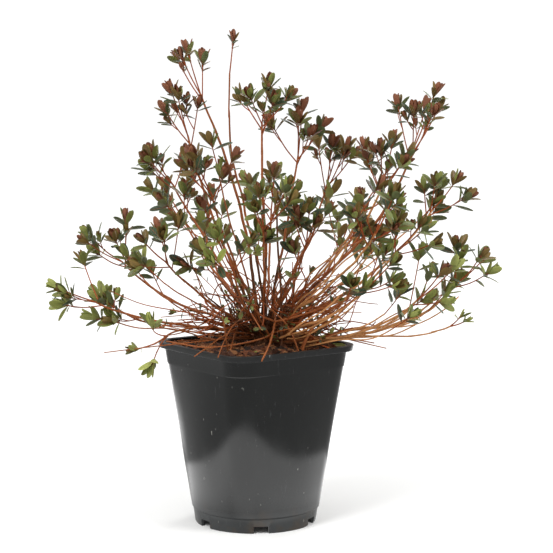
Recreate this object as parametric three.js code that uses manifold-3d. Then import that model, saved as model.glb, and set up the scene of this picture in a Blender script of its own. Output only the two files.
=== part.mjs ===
// A compact evergreen azalea growing in a square-topped nursery pot.
// Millimetres, +Z up. The origin is the middle of the pot's flat underside, on the ground;
// +X is to the right and +Y to the back of the plant as it is usually looked at.
import * as THREE from "three";
import { mergeVertices } from "three/addons/utils/BufferGeometryUtils.js";
import Module from "manifold-3d";

const wasm = await Module();
wasm.setup();

// ---- Driving dimensions ------------------------------------------------------------------

const pot = {
  height: 200,
  wallTop: 82, // half of the wall's width across its flats, at the top
  footRadius: 69, // the wall is round at the ground and square at the top
  cornerTop: 27, // corner radius of the wall at the top
  turn: 36, // degrees the square is turned about +Z
  wall: 1.8,
  lipOut: 4,
  lipHeight: 6.5,
  collarDrop: 24, // the collar's lower edge, below the rim
  collarStep: 0.7, // how far the wall below the collar stands in
  footHeight: 16,
  footInset: 1.6,
  footThick: 3,
  floorUnder: 9, // height of the raised floor's underside
  floorThick: 2,
  padRadius: 24, // the pad in the middle of the floor, which stands on the ground
  notches: 6,
  notchWide: 16.5,
  notchHigh: 8,
  segments: 32,
  crowding: 0.14, // how strongly segments crowd at the corners
};

const soil = {
  top: 188,
  edge: 185, // where it meets the pot
  clear: 0.5, // gap to the pot
  rings: [70, 56], // half-widths of the rings between its edge and its level middle
  lump: 2.2, // how far its surface rises and falls
  level: 6, // how far past the foot of the plant it is flat
};

const foot = {
  x: 10, // where the plant stands, to the right of the pot's axis
  clear: 0.3, // gap between parts that touch
  flare: 17,
  waist: 11,
  crown: 12.5,
  height: 38,
  lobes: 5,
  lobeDepth: 0.12,
  lobeHeight: 20, // the lobes of the root flare fade out at this height
  lean: 0.03, // how far it leans towards +X for each millimetre up
  sides: 12,
};

const bough = {
  sides: 5,
  steps: 5,
  lowOut: 3, // how far out from the foot's axis a level bough begins
  lowStart: 10, // and how high above the soil
  uprightOut: 6, // the same for an upright one
  uprightStart: 28,
  tipShare: 0.62, // tip radius as a share of the base radius
};

const leaf = {
  length: 26,
  width: 0.48, // as a share of the length
  thick: 0.045,
  widest: 0.62, // where along the leaf it is widest
  sink: 0.3, // how far its root runs past the shoot's axis
  first: 1.4, // from the tip of the shoot to its first leaf
  step: 3, // from one leaf to the next down the shoot
  tries: 4, // leaves begun on each shoot
  stands: 22, // lean of the first leaf out from its shoot, in degrees
  lies: 68, // and of the last
  spread: 10, // how much the lean varies
  lift: 0.15, // how strongly leaves turn upwards
  shortest: 0.8, // length of the smallest, as a share
  longest: 1.15,
  cross: 0.4, // how much of a leaf may lie inside what it is fused to, in cubic millimetres
};

const shoot = {
  sides: 3,
  root: 0.75, // radius where it forks from the stem
  tip: 1, // radius among its leaves
  lift: 0.32, // how strongly shoots turn upwards
  leadLean: 0.2, // lean of the leader, as a share of the fan
  leastLean: 0.75, // lean of the other shoots, as a share of the fan
  mostLean: 1.2,
  shortest: 0.75, // length of the shortest, as a share
  longest: 1.1,
  firstFork: 0.07, // how far below the leader the first shoot forks, as a share of the stem's outer half
  spiral: 0.24, // and how much further down each next one does
};

// The space of a mass ends this far from limbs and from the neighbouring masses, and above the pot.
const space = {
  clear: 1,
  overPot: 17, // height above the soil, within reach of the rim
  rimReach: 122,
};

// Each bough springs from the foot and carries one mass of foliage at its tip.
// from and bearing: the compass directions in which it leaves the foot and in which its tip lies, in
// degrees from +X towards +Y. reach and rise: its tip, out from the foot's axis and up from the soil.
// leaves and ends: its pitch above the level at its root and at its tip, in degrees.
// hitch: how much higher on the foot it begins than others of its pitch. girth: radius at its root.
// stem: length of the mass's stem up to its leader. shoots, long and fan: how many shoots the mass
// has, how long they are and how far they lean out from the stem.
const limbs = [
  ["left_ground",        -150,  -158,  114,   25,   20,  -34,   0,  1.9,  16,  3,  18,  66],
  ["left_low",            180,  -178,  158,   46,   20,   18,   0,  2.4,  30,  4,  40,  40],
  ["left_mid",            158,   163,  140,   73,   22,   36,   6,  2.4,  38,  5,  46,  46],
  ["left_inner",         -134,  -141,  112,   90,   34,   40,   0,  2.3,  28,  5,  40,  50],
  ["left_upper",          140,   136,  109,  116,   46,   48,   6,  2.2,  32,  4,  44,  42],
  ["left_high_outer",     168,   170,   88,  160,   60,   58,   2,  2.3,  30,  5,  40,  48],
  ["left_high",          -158,  -161,   78,  208,   66,   74,   3,  2.4,  34,  5,  44,  40],
  ["top_left",            158,   176,   56,  252,   80,   66,  10,  2.6,  36,  4,  44,  26],
  ["top_spire",            88,   142,   50,  270,   76,   92,   8,    2,  38,  2,  24,  24],
  ["top_centre",          -80,   -98,   16,  228,   84,   90,   8,  2.6,  26,  6,  40,  54],
  ["centre_high",           8,    30,   38,  190,   80,   78,   8,  2.3,  28,  5,  42,  46],
  ["centre_right",         48,    44,   87,  157,   60,   64,   4,  2.2,  30,  5,  42,  42],
  ["centre_left",        -126,  -129,   77,  154,   62,   66,   6,  2.2,  28,  5,  40,  46],
  ["front_left",         -110,  -108,   89,   82,   40,   52,   2,  2.3,  24,  6,  38,  52],
  ["front_mid",           -92,   -90,   85,  124,   60,   60,   4,  2.2,  26,  5,  38,  48],
  ["front_right",         -60,   -57,   71,  104,   54,   62,   4,    2,  28,  5,  40,  44],
  ["top_right",             2,     4,  149,  186,   46,   66,   8,  2.8,  42,  6,  56,  32],
  ["right_high_inner",    -30,   -14,  121,  163,   56,   64,   3,  2.2,  26,  5,  40,  44],
  ["right_front",         -44,   -42,  136,  117,   36,   46,   6,  2.6,  32,  6,  42,  48],
  ["right_high",           20,    10,  173,  133,   28,   50,   0,  2.6,  30,  5,  42,  46],
  ["right_mid",           -24,   -26,  140,  100,   28,   46,   5,  2.3,  28,  5,  38,  46],
  ["right_low_outer",      -4,     1,  194,   57,    5,   42,   0,  2.8,  30,  6,  40,  44],
  ["right_low",           -36,   -20,  153,   48,    8,   36,   0,  2.4,  28,  5,  40,  48],
  ["right_low_front",     -62,   -43,  125,   66,   20,   34,   0,  2.1,  26,  4,  36,  46],
  ["right_ground",         30,     6,  196,   22,   10,   14,   0,  1.8,  14,  2,  14,  34],
  ["back_left",           118,   116,  134,   86,   30,   42,   0,  2.4,  38,  6,  46,  46],
  ["back",                 86,    87,  120,  118,   46,   54,   6,  2.4,  38,  6,  44,  46],
  ["back_right",           60,    57,  142,   86,   30,   42,   0,  2.4,  38,  6,  46,  46],
].map(([name, from, bearing, reach, rise, leaves, ends, hitch, girth, stem, shoots, long, fan]) => (
  { name, from, bearing, reach, rise, leaves, ends, hitch, girth, stem, shoots, long, fan }
));

// ---- Small tools -------------------------------------------------------------------------

const radians = THREE.MathUtils.degToRad;
const up = new THREE.Vector3(0, 0, 1);
const goldenTurn = Math.PI * (3 - Math.sqrt(5));

// The same stream of numbers from 0 to 1 for the same seed.
function seeded(seed) {
  let state = seed >>> 0;
  return () => {
    state = (state + 0x6d2b79f5) >>> 0;
    let mixed = Math.imul(state ^ (state >>> 15), state | 1);
    mixed ^= mixed + Math.imul(mixed ^ (mixed >>> 7), mixed | 61);
    return ((mixed ^ (mixed >>> 14)) >>> 0) / 4294967296;
  };
}

// The unit vector at a compass bearing and a pitch above the level, both in degrees.
function heading(bearing, pitch) {
  const level = Math.cos(radians(pitch));
  return new THREE.Vector3(
    level * Math.cos(radians(bearing)),
    level * Math.sin(radians(bearing)),
    Math.sin(radians(pitch)),
  );
}

// A direction leaned away from an axis by an angle, towards a side chosen by turning about it.
function leaned(axis, angle, around) {
  const guide = Math.abs(axis.z) < 0.9 ? up : new THREE.Vector3(1, 0, 0);
  const side = new THREE.Vector3().crossVectors(axis, guide).normalize().applyAxisAngle(axis, around);
  return axis.clone().multiplyScalar(Math.cos(angle)).addScaledVector(side, Math.sin(angle)).normalize();
}

// A closed geometry as a solid that can be cut and joined.
function solidOf(geometry) {
  const bare = geometry.clone();
  bare.deleteAttribute("normal");
  bare.deleteAttribute("uv");
  const merged = mergeVertices(bare, 1e-4);
  const corners = merged.index.array;
  const triVerts = [];
  for (let i = 0; i < corners.length; i += 3) {
    const [a, b, c] = corners.subarray(i, i + 3);
    if (a !== b && b !== c && a !== c) triVerts.push(a, b, c);
  }
  const mesh = new wasm.Mesh({
    numProp: 3,
    vertProperties: merged.attributes.position.array,
    triVerts: new Uint32Array(triVerts),
  });
  return new wasm.Manifold(mesh);
}

// A solid as a geometry, keeping only its largest piece.
function geometryOf(solid) {
  const pieces = solid.decompose().sort((a, b) => b.volume() - a.volume());
  const mesh = pieces[0].getMesh();
  const geometry = new THREE.BufferGeometry();
  geometry.setAttribute("position", new THREE.BufferAttribute(mesh.vertProperties, 3));
  geometry.setIndex(new THREE.BufferAttribute(mesh.triVerts, 1));
  geometry.computeVertexNormals();
  return geometry;
}

function named(name, geometry, material) {
  const mesh = new THREE.Mesh(geometry, material);
  mesh.name = name;
  return mesh;
}

// A limb along a curve: a many-sided bar whose radius follows radiusAt from 0 at its root to 1 at its tip.
function limbAlong(curve, radiusAt, sides, steps) {
  const bar = new THREE.CylinderGeometry(1, 1, 1, sides, steps);
  const frames = curve.computeFrenetFrames(steps);
  const place = bar.attributes.position;
  for (let i = 0; i < place.count; i++) {
    const step = Math.round((place.getY(i) + 0.5) * steps);
    const point = curve.getPointAt(step / steps);
    const radius = radiusAt(step / steps);
    point.addScaledVector(frames.normals[step], place.getX(i) * radius);
    point.addScaledVector(frames.binormals[step], -place.getZ(i) * radius);
    place.setXYZ(i, point.x, point.y, point.z);
  }
  return bar;
}

// Shortest distance from a point to a run of points.
function distanceTo(point, path) {
  const near = new THREE.Vector3();
  const segment = new THREE.Line3();
  let least = Infinity;
  for (let i = 1; i < path.length; i++) {
    segment.set(path[i - 1], path[i]).closestPointToPoint(point, true, near);
    least = Math.min(least, near.distanceTo(point));
  }
  return least;
}

// ---- Pot ---------------------------------------------------------------------------------

// Half the wall's outer width across its flats, at a height.
const wallHalf = (z) => THREE.MathUtils.lerp(pot.footRadius, pot.wallTop, z / pot.height);

// Distance from the axis to the rounded square that the wall reaches at the top.
function squareReach(angle) {
  const toCorner = pot.wallTop - pot.cornerTop;
  const folded = Math.abs(THREE.MathUtils.euclideanModulo(angle + Math.PI / 4, Math.PI / 2) - Math.PI / 4);
  if (pot.wallTop * Math.tan(folded) <= toCorner) return pot.wallTop / Math.cos(folded);
  const along = toCorner * (Math.cos(folded) + Math.sin(folded));
  return along + Math.sqrt(along * along - 2 * toCorner * toCorner + pot.cornerTop * pot.cornerTop);
}

// How far the wall stands out in a direction, against its flats: straight lines join circle and square.
function squareness(angle, z) {
  return THREE.MathUtils.lerp(pot.footRadius, squareReach(angle), z / pot.height) / wallHalf(z);
}

// A profile turned about +Z and pushed out to the pot's rounded square; segments crowd at the corners.
function squareLathe(profile) {
  const turned = new THREE.LatheGeometry(profile.map(([r, z]) => new THREE.Vector2(r, z)), pot.segments);
  turned.rotateX(Math.PI / 2);
  const place = turned.attributes.position;
  for (let i = 0; i < place.count; i++) {
    const radius = Math.hypot(place.getX(i), place.getY(i));
    const even = Math.atan2(place.getY(i), place.getX(i));
    const angle = even + pot.crowding * Math.sin(4 * even);
    const out = radius * squareness(angle, place.getZ(i));
    const turn = angle + radians(pot.turn);
    place.setXYZ(i, out * Math.cos(turn), out * Math.sin(turn), place.getZ(i));
  }
  return turned;
}

// The profile of the pot's inner faces, or of what fills it with a gap all round.
function cavityProfile(gap) {
  const dish = pot.padRadius - pot.floorThick - gap;
  const floorTop = pot.floorUnder + pot.floorThick;
  return [
    [0, pot.floorThick + gap],
    [dish, pot.floorThick + gap],
    [dish, floorTop + gap],
    [wallHalf(floorTop) - pot.wall - pot.collarStep - gap, floorTop + gap],
    [wallHalf(soil.edge) - pot.wall - gap, soil.edge],
  ];
}

function potSolid() {
  const lipUnder = pot.height - pot.lipHeight;
  const collar = pot.height - pot.collarDrop;
  const outside = [
    [0, 0],
    [pot.padRadius, 0],
    [pot.padRadius, pot.floorUnder],
    [pot.footRadius - pot.footInset - pot.footThick, pot.floorUnder],
    [pot.footRadius - pot.footInset - pot.footThick, 0],
    [pot.footRadius - pot.footInset, 0],
    [wallHalf(pot.footHeight) - pot.footInset, pot.footHeight],
    [wallHalf(pot.footHeight) - pot.collarStep, pot.footHeight + 1],
    [wallHalf(collar) - pot.collarStep, collar],
    [wallHalf(collar), collar + 1],
    [wallHalf(lipUnder), lipUnder],
    [wallHalf(lipUnder) + pot.lipOut, lipUnder],
    [wallHalf(pot.height) + pot.lipOut, pot.height],
    [0, pot.height],
  ];
  const mouth = wallHalf(pot.height) - pot.wall;
  const inside = [...cavityProfile(0), [mouth, pot.height], [mouth, pot.height + 1], [0, pot.height + 1]];
  let made = solidOf(squareLathe(outside)).subtract(solidOf(squareLathe(inside)));
  for (let i = 0; i < pot.notches; i++) {
    const notch = new THREE.BoxGeometry(4 * pot.footThick, pot.notchWide, 2 * pot.notchHigh);
    notch.translate(pot.footRadius - pot.footInset, 0, 0);
    notch.rotateZ(radians(pot.turn) + (2 * Math.PI * i) / pot.notches);
    made = made.subtract(solidOf(notch));
  }
  return made;
}

// ---- Soil --------------------------------------------------------------------------------

// Its surface is flat round the foot of the plant and lumpy beyond.
function soilSolid() {
  const level = foot.x + foot.flare + soil.level;
  const profile = [
    ...cavityProfile(soil.clear),
    ...soil.rings.map((r) => [r, soil.top]),
    [level, soil.top],
    [0, soil.top],
  ];
  const made = squareLathe(profile);
  const place = made.attributes.position;
  for (let i = 0; i < place.count; i++) {
    const [x, y, z] = [place.getX(i), place.getY(i), place.getZ(i)];
    const outerRing = Math.hypot(x, y) > level * squareness(Math.PI / 4, z);
    const wave = Math.sin(x * 0.21 + 1) * Math.cos(y * 0.17) + 0.5 * Math.sin(x * 0.08 - y * 0.35);
    if (z === soil.top && outerRing) place.setZ(i, z + soil.lump * (wave / 2 - 0.2));
  }
  return solidOf(made);
}

// ---- Foot of the plant -------------------------------------------------------------------

// The short woody foot, from its flat cut on the soil to where the boughs fork; grown makes it fatter.
function footSolid(grown = 0) {
  const profile = [
    [0, -grown],
    [foot.flare + grown, -grown],
    [foot.flare * 0.78 + grown, foot.height * 0.12],
    [foot.waist + grown, foot.height * 0.35],
    [foot.crown + grown, foot.height * 0.76],
    [foot.crown * 0.7 + grown, foot.height * 0.93 + grown],
    [0, foot.height + grown],
  ];
  const made = new THREE.LatheGeometry(profile.map(([r, z]) => new THREE.Vector2(r, z)), foot.sides);
  made.rotateX(Math.PI / 2);
  const place = made.attributes.position;
  for (let i = 0; i < place.count; i++) {
    const [x, y, z] = [place.getX(i), place.getY(i), place.getZ(i)];
    const fade = Math.max(0, 1 - z / foot.lobeHeight);
    const swell = 1 + foot.lobeDepth * fade * Math.cos(foot.lobes * Math.atan2(y, x));
    place.setXYZ(i, x * swell + foot.lean * z, y * swell, z);
  }
  return solidOf(made);
}

// ---- Boughs ------------------------------------------------------------------------------

// The line of a bough, from inside the foot to its tip.
function boughCurve(limb) {
  const upright = limb.leaves / 90;
  const start = heading(limb.from, 0);
  start.multiplyScalar(THREE.MathUtils.lerp(bough.lowOut, bough.uprightOut, upright));
  start.z = THREE.MathUtils.lerp(bough.lowStart, bough.uprightStart, upright) + limb.hitch;
  const tip = heading(limb.bearing, 0).multiplyScalar(limb.reach);
  tip.z = limb.rise;
  const handle = start.distanceTo(tip) / 3;
  return new THREE.CubicBezierCurve3(
    start,
    start.clone().addScaledVector(heading(limb.from, limb.leaves), handle),
    tip.clone().addScaledVector(heading(limb.bearing, limb.ends), -handle),
    tip,
  );
}

const boughRadius = (limb, along) => limb.girth * THREE.MathUtils.lerp(1, bough.tipShare, along);

function boughSolid(limb) {
  const whole = limbAlong(boughCurve(limb), (t) => boughRadius(limb, t), bough.sides, bough.steps);
  return solidOf(whole).subtract(footSolid(foot.clear));
}

// ---- Masses of foliage -------------------------------------------------------------------

// The line of a mass's stem up to the tip of its leader, and the shoots that fork from it in a spiral.
function growShoots(limb, index) {
  const random = seeded(1000 + index);
  const axis = heading(limb.bearing, limb.ends);
  const root = heading(limb.bearing, 0).multiplyScalar(limb.reach);
  root.z = limb.rise;
  root.addScaledVector(axis, foot.clear);
  const bent = axis.clone().addScaledVector(up, shoot.lift * 0.5).normalize();
  const elbow = root.clone().addScaledVector(axis, limb.stem * 0.5);
  const fork = elbow.clone().addScaledVector(bent, limb.stem * 0.5);
  const lead = leaned(bent, radians(limb.fan) * shoot.leadLean, random() * 2 * Math.PI);
  const shoots = [{ from: fork, direction: lead, to: fork.clone().addScaledVector(lead, limb.long) }];
  for (let i = 1; i < limb.shoots; i++) {
    const [a, b, c] = [random(), random(), random()];
    const lean = radians(limb.fan) * THREE.MathUtils.lerp(shoot.leastLean, shoot.mostLean, a);
    const direction = leaned(bent, lean, goldenTurn * i + b * 0.7);
    direction.addScaledVector(up, shoot.lift).normalize();
    const from = fork.clone().lerp(elbow, shoot.firstFork + (i - 1) * shoot.spiral);
    const share = THREE.MathUtils.lerp(shoot.shortest, shoot.longest, c);
    const long = limb.long * share + from.distanceTo(fork) / 2;
    shoots.push({ from, direction, to: from.clone().addScaledVector(direction, long) });
  }
  return { stem: [root, elbow, fork, shoots[0].to], shoots };
}

// The leaves at the tip of a shoot: the upper ones stand up, the lower ones lie out.
function growLeaves(index, shoots) {
  const random = seeded(5000 + index);
  const leaves = [];
  for (const one of shoots) {
    for (let i = 0; i < leaf.tries; i++) {
      const [a, b, c] = [random(), random(), random()];
      const lean = THREE.MathUtils.lerp(leaf.stands, leaf.lies, i / (leaf.tries - 1)) + leaf.spread * b;
      const direction = leaned(one.direction, radians(lean), goldenTurn * i + a * 0.8);
      direction.addScaledVector(up, leaf.lift).normalize();
      const root = one.to.clone().addScaledVector(one.direction, -leaf.first - leaf.step * i);
      const length = leaf.length * THREE.MathUtils.lerp(leaf.shortest, leaf.longest, c);
      leaves.push({ root, direction, shoot: one, length });
    }
  }
  return leaves;
}

// The corners of a leaf: root, tip, two sides, top and underside.
function leafCorners({ root, direction, length }) {
  const side = new THREE.Vector3().crossVectors(up, direction).normalize();
  const face = new THREE.Vector3().crossVectors(direction, side);
  const heart = root.clone().addScaledVector(direction, length * leaf.widest);
  const wide = (length * leaf.width) / 2;
  const thick = (length * leaf.thick) / 2;
  return {
    root: root.clone().addScaledVector(direction, -leaf.sink),
    tip: root.clone().addScaledVector(direction, length),
    left: heart.clone().addScaledVector(side, wide),
    right: heart.clone().addScaledVector(side, -wide),
    top: heart.clone().addScaledVector(face, thick),
    under: heart.clone().addScaledVector(face, -thick),
  };
}

// An eight-faced leaf.
function leafSolid(one) {
  const corners = leafCorners(one);
  const block = new THREE.OctahedronGeometry(1);
  const place = block.attributes.position;
  for (let i = 0; i < place.count; i++) {
    const [x, y, z] = [place.getX(i), place.getY(i), place.getZ(i)].map(Math.round);
    const lengthwise = x > 0 ? corners.tip : corners.root;
    const crosswise = y > 0 ? corners.left : corners.right;
    const through = z > 0 ? corners.top : corners.under;
    const point = x ? lengthwise : y ? crosswise : through;
    place.setXYZ(i, point.x, point.y, point.z);
  }
  return solidOf(block);
}

const boughLines = limbs.map((limb) => boughCurve(limb).getSpacedPoints(24));
const growths = limbs.map(growShoots);
const massLines = growths.map(({ stem }) => stem);

// True where a point belongs to this mass: nearest to its own line, clear of every bough and of the pot.
function inOwnSpace(index, point, nearOwnBough = false) {
  if (point.z < space.overPot && Math.hypot(point.x, point.y) < space.rimReach) return false;
  const own = distanceTo(point, massLines[index]) + 2 * space.clear;
  if (massLines.some((line, i) => i !== index && distanceTo(point, line) < own)) return false;
  return !boughLines.some((line, i) => {
    if (i === index && nearOwnBough) return false;
    return distanceTo(point, line) < limbs[i].girth + space.clear;
  });
}

const runPoints = (from, to, count) =>
  Array.from({ length: count }, (_, i) => from.clone().lerp(to, (i + 1) / count));

function massSolid(limb, index) {
  const { stem, shoots } = growths[index];
  const [leader, ...others] = shoots;
  const stemRadius = (t) => THREE.MathUtils.lerp(boughRadius(limb, 1), shoot.tip, t * t);
  const shootRadius = (t) => THREE.MathUtils.lerp(shoot.root, shoot.tip, t);
  let made = solidOf(limbAlong(new THREE.CatmullRomCurve3(stem), stemRadius, shoot.sides, 4));
  const fits = (one) => runPoints(one.from, one.to, 6).every((p) => inOwnSpace(index, p, true));
  const kept = others.filter(fits);
  for (const one of kept) {
    const line = new THREE.LineCurve3(one.from, one.to);
    made = made.add(solidOf(limbAlong(line, shootRadius, shoot.sides, 1)));
  }
  for (const one of growLeaves(index, [leader, ...kept])) {
    const { root, ...outer } = leafCorners(one);
    const points = [...Object.values(outer), ...runPoints(one.root, outer.tip, 4)];
    if (!points.every((p) => inOwnSpace(index, p))) continue;
    const solid = leafSolid(one);
    if (made.intersect(solid).volume() < leaf.cross) made = made.add(solid);
  }
  return made;
}

// ---- Assembly ----------------------------------------------------------------------------

const plastic = new THREE.MeshStandardMaterial({ color: 0x2b2d2c, roughness: 0.38, metalness: 0 });
const compost = new THREE.MeshStandardMaterial({ color: 0x4a2f1e, roughness: 0.95, metalness: 0 });
const bark = new THREE.MeshStandardMaterial({ color: 0x8a5230, roughness: 0.85, metalness: 0 });
const foliage = new THREE.MeshStandardMaterial({ color: 0x5a6a35, roughness: 0.5, metalness: 0 });

const shrub = new THREE.Group();
shrub.position.set(foot.x, 0, soil.top + foot.clear);
shrub.add(named("foot", geometryOf(footSolid()), bark));
limbs.forEach((limb, index) => {
  shrub.add(named(`bough_${limb.name}`, geometryOf(boughSolid(limb)), bark));
  shrub.add(named(`foliage_${limb.name}`, geometryOf(massSolid(limb, index)), foliage));
});

const azalea = new THREE.Group();
azalea.add(named("pot", geometryOf(potSolid()), plastic));
azalea.add(named("soil", geometryOf(soilSolid()), compost));
azalea.add(shrub);

export default azalea;
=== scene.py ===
import math
from collections import namedtuple

import bpy
import numpy as np
from bpy.props import FloatProperty, FloatVectorProperty, IntProperty, PointerProperty
from bpy.types import Operator, Panel, PropertyGroup
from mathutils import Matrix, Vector, noise


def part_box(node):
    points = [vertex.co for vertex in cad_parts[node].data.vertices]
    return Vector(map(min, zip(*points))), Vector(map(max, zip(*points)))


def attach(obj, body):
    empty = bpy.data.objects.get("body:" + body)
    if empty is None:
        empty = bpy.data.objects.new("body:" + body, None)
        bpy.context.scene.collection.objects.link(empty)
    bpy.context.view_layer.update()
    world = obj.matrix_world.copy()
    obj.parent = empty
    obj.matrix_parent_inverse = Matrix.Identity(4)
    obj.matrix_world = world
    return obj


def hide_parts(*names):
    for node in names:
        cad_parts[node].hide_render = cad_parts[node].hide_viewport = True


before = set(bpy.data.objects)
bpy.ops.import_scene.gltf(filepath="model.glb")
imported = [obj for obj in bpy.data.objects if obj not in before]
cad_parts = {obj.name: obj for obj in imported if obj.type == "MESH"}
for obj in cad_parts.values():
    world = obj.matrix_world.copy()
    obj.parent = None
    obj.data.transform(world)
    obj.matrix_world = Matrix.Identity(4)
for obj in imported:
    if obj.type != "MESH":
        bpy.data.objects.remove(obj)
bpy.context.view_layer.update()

bl_info = {
    "name": "Potted azalea dressing",
    "version": (1, 0, 0),
    "blender": (4, 5, 0),
    "location": "3D View > Sidebar > Azalea",
    "description": "Dresses the azalea's frame with bark, twigs, leaves, soil and a nursery pot",
    "category": "Add Mesh",
}

# Sizes in this file are in millimetres unless a name or a property says otherwise.
MM = 0.001
UP = np.array([0.0, 0.0, 1.0])
ACROSS = np.array([1.0, 0.0, 0.0])
GOLDEN_TURN = math.pi * (3 - math.sqrt(5))
SHRUB_AT = np.array([10.0, 0.0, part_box("foot")[0][2] / MM])
NOISE_SEED = 7
noise.seed_set(NOISE_SEED)  # vector noise starts where the clock says unless it is seeded

# ---- The growth rule that the solids were grown by ----------------------------------------

LOW_OUT = 3.0  # how far out from the foot's axis a level bough begins
LOW_START = 10.0  # and how high above the soil
UPRIGHT_OUT = 6.0  # the same for an upright one
UPRIGHT_START = 28.0
TIP_SHARE = 0.62  # a bough's tip radius as a share of its base radius
BOUGH_GAP = 0.3  # from a bough's tip to the stem that goes on from it

SHOOT_LIFT = 0.32  # how strongly shoots turn upwards
LEAD_LEAN = 0.2  # lean of the leader, as a share of the fan
LEAST_LEAN = 0.75  # lean of the other shoots, as a share of the fan
MOST_LEAN = 1.2
SHORTEST_SHOOT = 0.75
LONGEST_SHOOT = 1.1
FIRST_FORK = 0.07  # how far below the leader the first shoot forks
SPIRAL = 0.24  # and how much further down each next one does

LEAF_LIFT = 0.15  # how strongly leaves turn upwards

CLEAR = 1.0  # a mass keeps this far from limbs and from the masses beside it
OVER_POT = 17.0  # and this high over the soil, within reach of the rim
RIM_REACH = 122.0

Limb = namedtuple(
    "Limb", "name start bearing reach rise leaves ends hitch girth stem shoots long fan"
)

# Each bough springs from the foot and carries one mass of foliage.
# start and bearing are compass directions in degrees, leaves and ends are pitches in degrees.
LIMBS = [Limb(*row) for row in (
    ("left_ground", -150, -158, 114, 25, 20, -34, 0, 1.5, 16, 3, 18, 66),
    ("left_low", 180, -178, 158, 46, 20, 18, 0, 1.9, 30, 4, 40, 40),
    ("left_mid", 158, 163, 140, 73, 22, 36, 6, 1.9, 38, 5, 46, 46),
    ("left_inner", -134, -141, 112, 90, 34, 40, 0, 1.8, 28, 5, 40, 50),
    ("left_upper", 140, 136, 109, 116, 46, 48, 6, 1.7, 32, 4, 44, 42),
    ("left_high_outer", 168, 170, 88, 160, 60, 58, 2, 1.8, 30, 5, 40, 48),
    ("left_high", -158, -161, 78, 208, 66, 74, 3, 1.9, 34, 5, 44, 40),
    ("top_left", 158, 176, 56, 252, 80, 66, 10, 2, 36, 4, 44, 26),
    ("top_spire", 88, 142, 50, 270, 76, 92, 8, 1.6, 38, 2, 24, 24),
    ("top_centre", -80, -98, 16, 228, 84, 90, 8, 2, 26, 6, 40, 54),
    ("centre_high", 8, 30, 38, 190, 80, 78, 8, 1.8, 28, 5, 42, 46),
    ("centre_right", 48, 44, 87, 157, 60, 64, 4, 1.7, 30, 5, 42, 42),
    ("centre_left", -126, -129, 77, 154, 62, 66, 6, 1.7, 28, 5, 40, 46),
    ("front_left", -110, -108, 89, 82, 40, 52, 2, 1.8, 24, 6, 38, 52),
    ("front_mid", -92, -90, 85, 124, 60, 60, 4, 1.7, 26, 5, 38, 48),
    ("front_right", -60, -57, 71, 104, 54, 62, 4, 1.6, 28, 5, 40, 44),
    ("top_right", 2, 4, 149, 186, 46, 66, 8, 2.1, 42, 6, 56, 32),
    ("right_high_inner", -30, -14, 121, 163, 56, 64, 3, 1.7, 26, 5, 40, 44),
    ("right_front", -44, -42, 136, 117, 36, 46, 6, 2, 32, 6, 42, 48),
    ("right_high", 20, 10, 173, 133, 28, 50, 0, 2, 30, 5, 42, 46),
    ("right_mid", -24, -26, 140, 100, 28, 46, 5, 1.8, 28, 5, 38, 46),
    ("right_low_outer", -4, 1, 194, 57, 5, 42, 0, 2.1, 30, 6, 40, 44),
    ("right_low", -36, -20, 153, 48, 8, 36, 0, 1.9, 28, 5, 40, 48),
    ("right_low_front", -62, -43, 125, 66, 20, 34, 0, 1.7, 26, 4, 36, 46),
    ("right_ground", 30, 6, 196, 22, 10, 14, 0, 1.4, 14, 2, 14, 34),
    ("back_left", 118, 116, 134, 86, 30, 42, 0, 1.9, 38, 6, 46, 46),
    ("back", 86, 87, 120, 118, 46, 54, 6, 1.9, 38, 6, 44, 46),
    ("back_right", 60, 57, 142, 86, 30, 42, 0, 1.9, 38, 6, 46, 46),
)]

Shoot = namedtuple("Shoot", "start direction end")


def seeded(seed):
    """The same stream of numbers from 0 to 1 for the same seed, as in the solids' rule."""
    mask = 0xFFFFFFFF
    state = seed & mask

    def draw():
        nonlocal state
        state = (state + 0x6D2B79F5) & mask
        mixed = ((state ^ (state >> 15)) * (state | 1)) & mask
        turned_over = ((mixed ^ (mixed >> 7)) * (mixed | 61)) & mask
        mixed ^= (mixed + turned_over) & mask
        return ((mixed ^ (mixed >> 14)) & mask) / (mask + 1)

    return draw


def lerp(low, high, share):
    return low + (high - low) * share


def unit(v):
    return v / np.linalg.norm(v)


def square_to(v, ahead):
    """The part of v that lies across a unit direction, as a unit vector."""
    return unit(v - ahead * np.dot(v, ahead))


def heading(bearing, pitch):
    """The unit vector at a compass bearing and a pitch above the level, both in degrees."""
    level = math.cos(math.radians(pitch))
    turn = math.radians(bearing)
    return np.array([level * math.cos(turn), level * math.sin(turn), math.sin(math.radians(pitch))])


def turned(v, axis, angle):
    """v turned about a unit axis."""
    along = axis * np.dot(axis, v)
    return along + (v - along) * math.cos(angle) + np.cross(axis, v) * math.sin(angle)


def leaned(axis, angle, around):
    """A direction leaned away from an axis by an angle, to the side chosen by turning about it."""
    side = turned(unit(np.cross(axis, UP if abs(axis[2]) < 0.9 else ACROSS)), axis, around)
    return unit(axis * math.cos(angle) + side * math.sin(angle))


def reached(line):
    """How far along a line each of its points lies."""
    return np.concatenate([[0.0], np.cumsum(np.linalg.norm(np.diff(line, axis=0), axis=1))])


def even_points(curve, count):
    """count + 1 points spaced evenly along a densely sampled curve."""
    along = reached(curve)
    wanted = np.linspace(0.0, along[-1], count + 1)
    return np.stack([np.interp(wanted, along, curve[:, i]) for i in range(3)], axis=1)


def bezier(a, b, c, d, count):
    """count + 1 evenly spaced points of a cubic Bezier curve."""
    t = np.linspace(0.0, 1.0, 201)[:, None]
    curve = (1 - t) ** 3 * a + 3 * (1 - t) ** 2 * t * b + 3 * (1 - t) * t**2 * c + t**3 * d
    return even_points(curve, count)


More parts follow.
